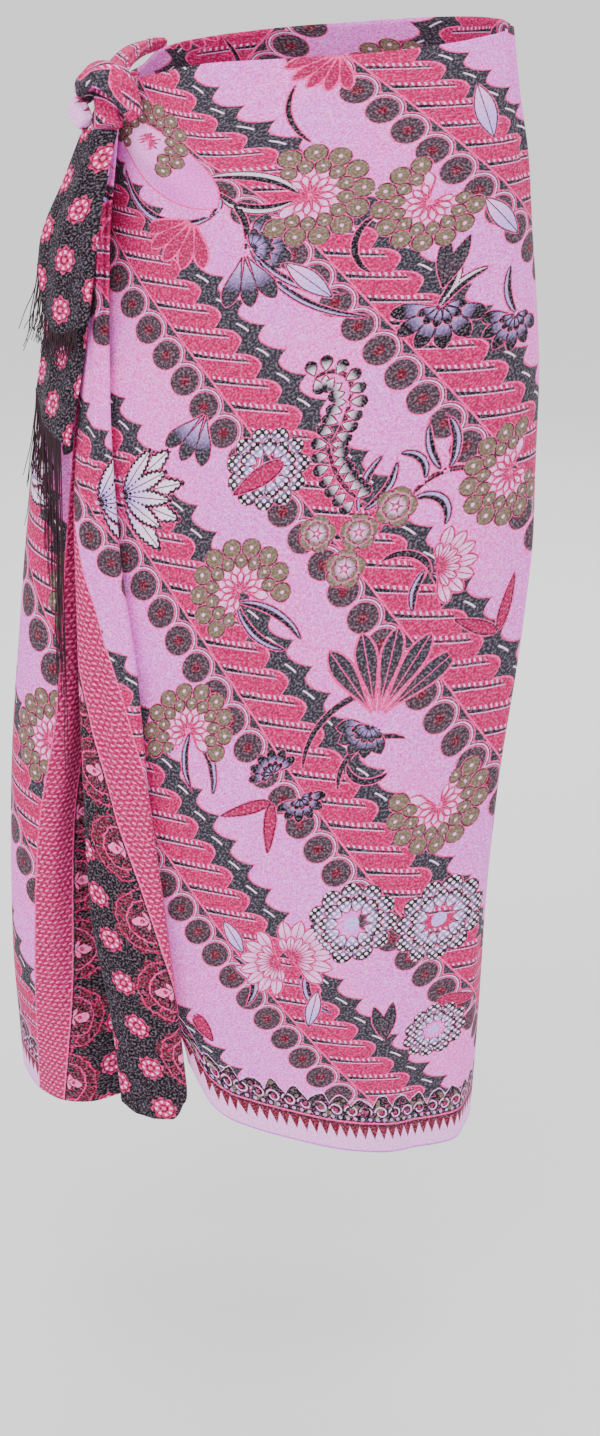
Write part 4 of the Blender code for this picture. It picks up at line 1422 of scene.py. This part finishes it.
LEAVES = (
    ("flap", -0.036, 0.188, 0.124, 314),
    ("stamens", 0.112, 0.103, 0.026, 350),
    ("stamens", 0.190, 0.088, 0.024, 225),
    ("stamens", 0.268, -0.122, 0.022, 200),
    ("stamens", 0.088, -0.189, 0.022, 120),
    ("stamens", 0.060, -0.292, 0.022, 90),
    ("stamens", 0.258, -0.350, 0.024, 290),
    ("leaf_fan", 0.074, 0.062, 0.030, 12),
    ("hanging", 0.069, 0.060, 0.044, 280),
    ("leaf_fan", 0.197, -0.285, 0.024, 240),
    ("palm", 0.200, -0.281, 0.064, 86),
    ("tulip", 0.031, 0.089, 0.042, 238),
    ("tulip", 0.130, 0.222, 0.034, 235),
    ("drop", 0.134, -0.342, 0.040, 236),
    ("bud", 0.092, -0.528, 0.032, 305),
    ("bud", 0.286, -0.520, 0.034, 350),
    ("drop", 0.277, -0.232, 0.038, 118),
    ("leaf", 0.226, 0.085, 0.046, 310),
    ("dotted", 0.100, -0.102, 0.030, 8),
    ("stamens", 0.000, 0.160, 0.022, 55),
    ("leaf", 0.218, 0.180, 0.050, 285),
    ("leaf", 0.098, 0.050, 0.045, 320),
    ("leaf", 0.108, -0.440, 0.034, 305),
    ("leaf", 0.120, -0.480, 0.044, 340),
    ("leaf", 0.190, -0.498, 0.036, 265),
    ("dark_leaf", 0.248, -0.549, 0.036, 100),
    ("dark_leaf", 0.204, 0.020, 0.040, 80),
    ("white_leaf", -0.012, -0.124, 0.052, 358),
    ("hanging", 0.052, -0.060, 0.040, 245),
)
# Centre of the ring, its radius, the half turn it covers, half its thickness, its middle's turn and colour
STEMS = (
    (0.212, -0.127, 0.045, 0.50, 0.0028, 166, LAVENDER),
    (0.154, -0.103, 0.035, 0.56, 0.0028, 330, LAVENDER),
    (0.228, -0.141, 0.030, 0.89, 0.0018, 102, CRIMSON),
    (0.193, -0.112, 0.016, 0.96, 0.0028, 43, LAVENDER),
    (0.211, -0.143, 0.016, 1.23, 0.0032, 49, LAVENDER),
    (0.257, -0.078, 0.050, 0.35, 0.0028, 200, LAVENDER),
    (0.192, -0.096, 0.035, 0.55, 0.0030, 7, LAVENDER),
    (0.200, -0.188, 0.022, 0.95, 0.0022, 71, CHARCOAL),
    (0.241, -0.197, 0.030, 0.49, 0.0028, 171, LAVENDER),
    (0.206, -0.203, 0.026, 0.52, 0.0026, 24, LAVENDER),
    (0.164, 0.039, 0.050, 0.33, 0.0036, 339, CREAM),
    (0.241, -0.009, 0.040, 0.49, 0.0034, 129, CREAM),
    (0.289, 0.016, 0.040, 0.48, 0.0030, 192, LAVENDER),
    (0.211, -0.324, 0.030, 1.12, 0.0022, 131, CHARCOAL),
    (0.202, -0.310, 0.017, 1.08, 0.0022, 258, CHARCOAL),
    (0.021, 0.130, 0.046, 1.12, 0.0034, 244, LAVENDER),
    (0.038, 0.103, 0.014, 0.93, 0.0024, 352, LAVENDER),
    (0.021, 0.071, 0.050, 0.62, 0.0022, 25, CHARCOAL),
    (0.148, 0.113, 0.090, 0.45, 0.0026, 237, LAVENDER),
    (0.170, 0.114, 0.110, 0.47, 0.0026, 236, LAVENDER),
    (0.058, 0.068, 0.060, 0.54, 0.0040, 69, CREAM),
    (0.082, 0.134, 0.040, 0.64, 0.0040, 262, CREAM),
    (0.138, -0.049, 0.015, 1.46, 0.0016, 56, CRIMSON),
    (0.102, -0.058, 0.050, 0.38, 0.0016, 343, CRIMSON),
    (0.201, -0.077, 0.060, 0.41, 0.0016, 212, CRIMSON),
    (0.088, -0.257, 0.060, 0.48, 0.0030, 62, LAVENDER),
    (0.134, -0.181, 0.050, 0.52, 0.0028, 231, LAVENDER),
    (0.110, -0.307, 0.050, 0.43, 0.0026, 189, LAVENDER),
    (0.037, -0.336, 0.050, 0.56, 0.0030, 29, LAVENDER),
    (0.203, -0.310, 0.050, 1.0, 0.0022, 130, CHARCOAL),
    (0.150, 0.180, 0.050, 0.55, 0.0014, 190, INK),
    (0.210, -0.490, 0.030, 1.0, 0.0030, 200, LAVENDER),
    (0.110, -0.500, 0.030, 0.9, 0.0034, 20, LAVENDER),
    (0.170, 0.060, 0.026, 1.0, 0.0022, 180, INK),
)
# The fern's spine on the print, from its curled tip to its root, with how far apart its leaflets are
FERN_SPINE = (
    (0.127, -0.038), (0.136, -0.034), (0.147, -0.042), (0.152, -0.055),
    (0.148, -0.070), (0.142, -0.086), (0.145, -0.102), (0.155, -0.117), (0.166, -0.128),
)
FERN_STEP = 0.0078
FERN_LEAFLET = 0.0130
# The part of the print that the front shows comes again these many widths to the right, for the back,
# each time a little lower and turned by some degrees
REPEATS = (0, -1, 1, 2)
REPEAT_WIDTH = 0.38
REPEAT_DROP = 0.006
REPEAT_TURN = 17
# How far from its middle a motif keeps a face, in its own sizes, and a stem from its line, in metres
MOTIF_REACH = 1.12
STEM_REACH = 0.008
KEPT = ("place", "ring", "form", "mark")


def fern():
    """Pairs of leaflets evenly down the fern's spine, each pair turned along it."""
    spine = np.array(FERN_SPINE)
    run = np.concatenate([[0.0], np.cumsum(np.hypot(*np.diff(spine, axis=0).T))])
    at = np.arange(0.0, run[-1], FERN_STEP)
    x, y = (np.interp(at, run, spine[:, k]) for k in (0, 1))
    way = np.degrees(np.arctan2(np.gradient(y), np.gradient(x)))
    return tuple(("fern", x[i], y[i], FERN_LEAFLET, way[i]) for i in range(len(at)))


def again(chosen):
    """The motifs that show, and the same ones again further round, for the back."""
    out = []
    for turn in REPEATS:
        for kind, x, y, size, angle in chosen:
            place = (x + turn * REPEAT_WIDTH, y - REPEAT_DROP * turn)
            out.append((kind, *place, size, angle + REPEAT_TURN * turn))
    return out


def face_middles(mesh):
    """The middle of each face on the print."""
    uv = np.empty(len(mesh.loops) * 2)
    mesh.uv_layers["Cloth"].data.foreach_get("uv", uv)
    start = np.empty(len(mesh.polygons), np.int32)
    total = np.empty(len(mesh.polygons), np.int32)
    mesh.polygons.foreach_get("loop_start", start)
    mesh.polygons.foreach_get("loop_total", total)
    return np.add.reduceat(uv.reshape(-1, 2), start, axis=0) / total[:, None]


def keep(mesh, name, rows, kind="FLOAT_VECTOR", field="vector"):
    mesh.attributes.new(name, kind, "FACE").data.foreach_set(field, rows.ravel())


def turned_from(dx, dy, angle):
    """How far round points lie from a direction, up to half a turn either way."""
    around = np.arctan2(dy, dx) - math.radians(angle)
    return np.mod(around + math.pi, math.tau) - math.pi


def keep_motifs(sheet, layer, chosen):
    """Keeps the nearest motif's numbers on each face of a sheet, for one layer."""
    middle = face_middles(sheet.data)
    best = np.full(len(middle), MOTIF_REACH)
    owner = np.full(len(middle), -1)
    for i, (kind, x, y, size, angle) in enumerate(chosen):
        dx, dy = middle[:, 0] - x, middle[:, 1] - y
        far = np.hypot(dx, dy) / size
        beyond = abs(turned_from(dx, dy, angle)) > KINDS[kind]["fan"] + 0.12 / np.maximum(far, 0.1)
        far[beyond] = np.inf
        closer = far < best
        best[closer] = far[closer]
        owner[closer] = i
    values = {part: np.zeros((len(middle), 3)) for part in KEPT}
    values["ring"][:] = (0.0001, 1.0, 1.0)
    colours = {part: np.ones((len(middle), 4)) for part in ("fill", "rim", "core", "echo")}
    for i, (kind, x, y, size, angle) in enumerate(chosen):
        mine = owner == i
        look = KINDS[kind]
        values["place"][mine] = (x, y, math.radians(angle))
        values["ring"][mine] = (size, look["count"], look["fan"])
        values["form"][mine] = (look["inner"], look["belly"], look["blunt"])
        values["mark"][mine] = (look["width"], look["vein"], look["dot"])
        colours["echo"][mine] = (look["echo"] or 0.001, 0.0, 0.0, 1.0)
        for part in ("fill", "rim", "core"):
            colours[part][mine] = look[part]
    for part, rows in values.items():
        keep(sheet.data, part + layer, rows)
    for part, rows in colours.items():
        keep(sheet.data, part + layer, rows, "FLOAT_COLOR", "color")


def keep_stems(sheet, chosen):
    """Keeps the nearest stem's numbers on each face of a sheet."""
    middle = face_middles(sheet.data)
    best = np.full(len(middle), STEM_REACH)
    place = np.zeros((len(middle), 3))
    ring = np.tile((1.0, 1.0, 0.0), (len(middle), 1))
    fill = np.ones((len(middle), 4))
    for turn in REPEATS:
        for x, y, radius, span, half, angle, colour in chosen:
            at_x, at_y = x + turn * REPEAT_WIDTH, y - REPEAT_DROP * turn
            dx, dy = middle[:, 0] - at_x, middle[:, 1] - at_y
            off = abs(np.hypot(dx, dy) - radius)
            mine = (off < best) & (abs(turned_from(dx, dy, angle)) < span + 0.004 / radius)
            best[mine] = off[mine]
            place[mine] = (at_x, at_y, math.radians(angle))
            ring[mine] = (radius, span, half)
            fill[mine] = colour
    keep(sheet.data, "placeS", place)
    keep(sheet.data, "ringS", ring)
    keep(sheet.data, "fillS", fill, "FLOAT_COLOR", "color")


batik = print_material("batik")
printed = (front, back, fall, tail, tail_under, knot_over, knot_through, knot_tuck)
plain = (knot_over, knot_through, knot_tuck)
for sheet in printed:
    keep_motifs(sheet, "A", () if sheet in plain else again(FLOWERS + fern()))
    keep_motifs(sheet, "B", () if sheet in plain else again(LEAVES))
    keep_stems(sheet, STEMS)
    sheet.data.materials.clear()
    sheet.data.materials.append(batik)
print("batik", len(batik.node_tree.nodes), "nodes")

thread = Art("fringe_thread")
thread.shader.inputs["Base Color"].default_value = rgb(44, 18, 30)
thread.shader.inputs["Roughness"].default_value = 0.9
for piece in (tail_threads, under_threads):
    piece.data.materials.clear()
    piece.data.materials.append(thread.material)

# %% [markdown]
# ## Into the frame
#
# Each sheet takes the place of its plain solid.

# %% Into the frame
PIECES = (
    (front, "front_wrap", "field_cloth"),
    (back, "back_wrap", "field_cloth"),
    (fall, "fall_fold", "end_cloth"),
    (tail, "tail_end", "end_cloth"),
    (tail_under, "tail_under", "end_cloth"),
    (knot_over, "knot_over", "knot_cloth"),
    (knot_through, "knot_through", "knot_cloth"),
    (knot_tuck, "knot_tuck", "knot_cloth"),
    (tail_threads, "tail_fringe", "fringe_thread"),
    (under_threads, "under_fringe", "fringe_thread"),
)
# What shows of the cloth in each sheet: its width, length and flat area, and how it is held
CUTS = (
    (front, (0.408, 0.914), 0.311, "hung", [knot_through], []),
    (back, (0.663, 0.915), 0.532, "hung", [front], []),
    (fall, (0.155, 0.806), 0.077, "gathered", [front], []),
    (tail, (0.098, 0.151), 0.0083, "gathered", [tail_under], [tail_threads]),
    (tail_under, (0.075, 0.198), 0.0114, "gathered", [fall], [under_threads]),
    (knot_over, (0.065, 0.106), 0.0048, "gathered", [knot_through], []),
    (knot_through, (0.056, 0.166), 0.0075, "gathered", [front], []),
    (knot_tuck, (0.038, 0.052), 0.0017, "folded", [knot_over], []),
)
for piece, node, finish in PIECES:
    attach(piece, BODY_NAME)
    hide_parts(node)
for sheet, flat, area, held, under, extra in CUTS:
    cloth = sum(face.area for face in sheet.data.polygons) / 2
    print(sheet.name, "has", round(cloth, 4), "square metres of cloth")
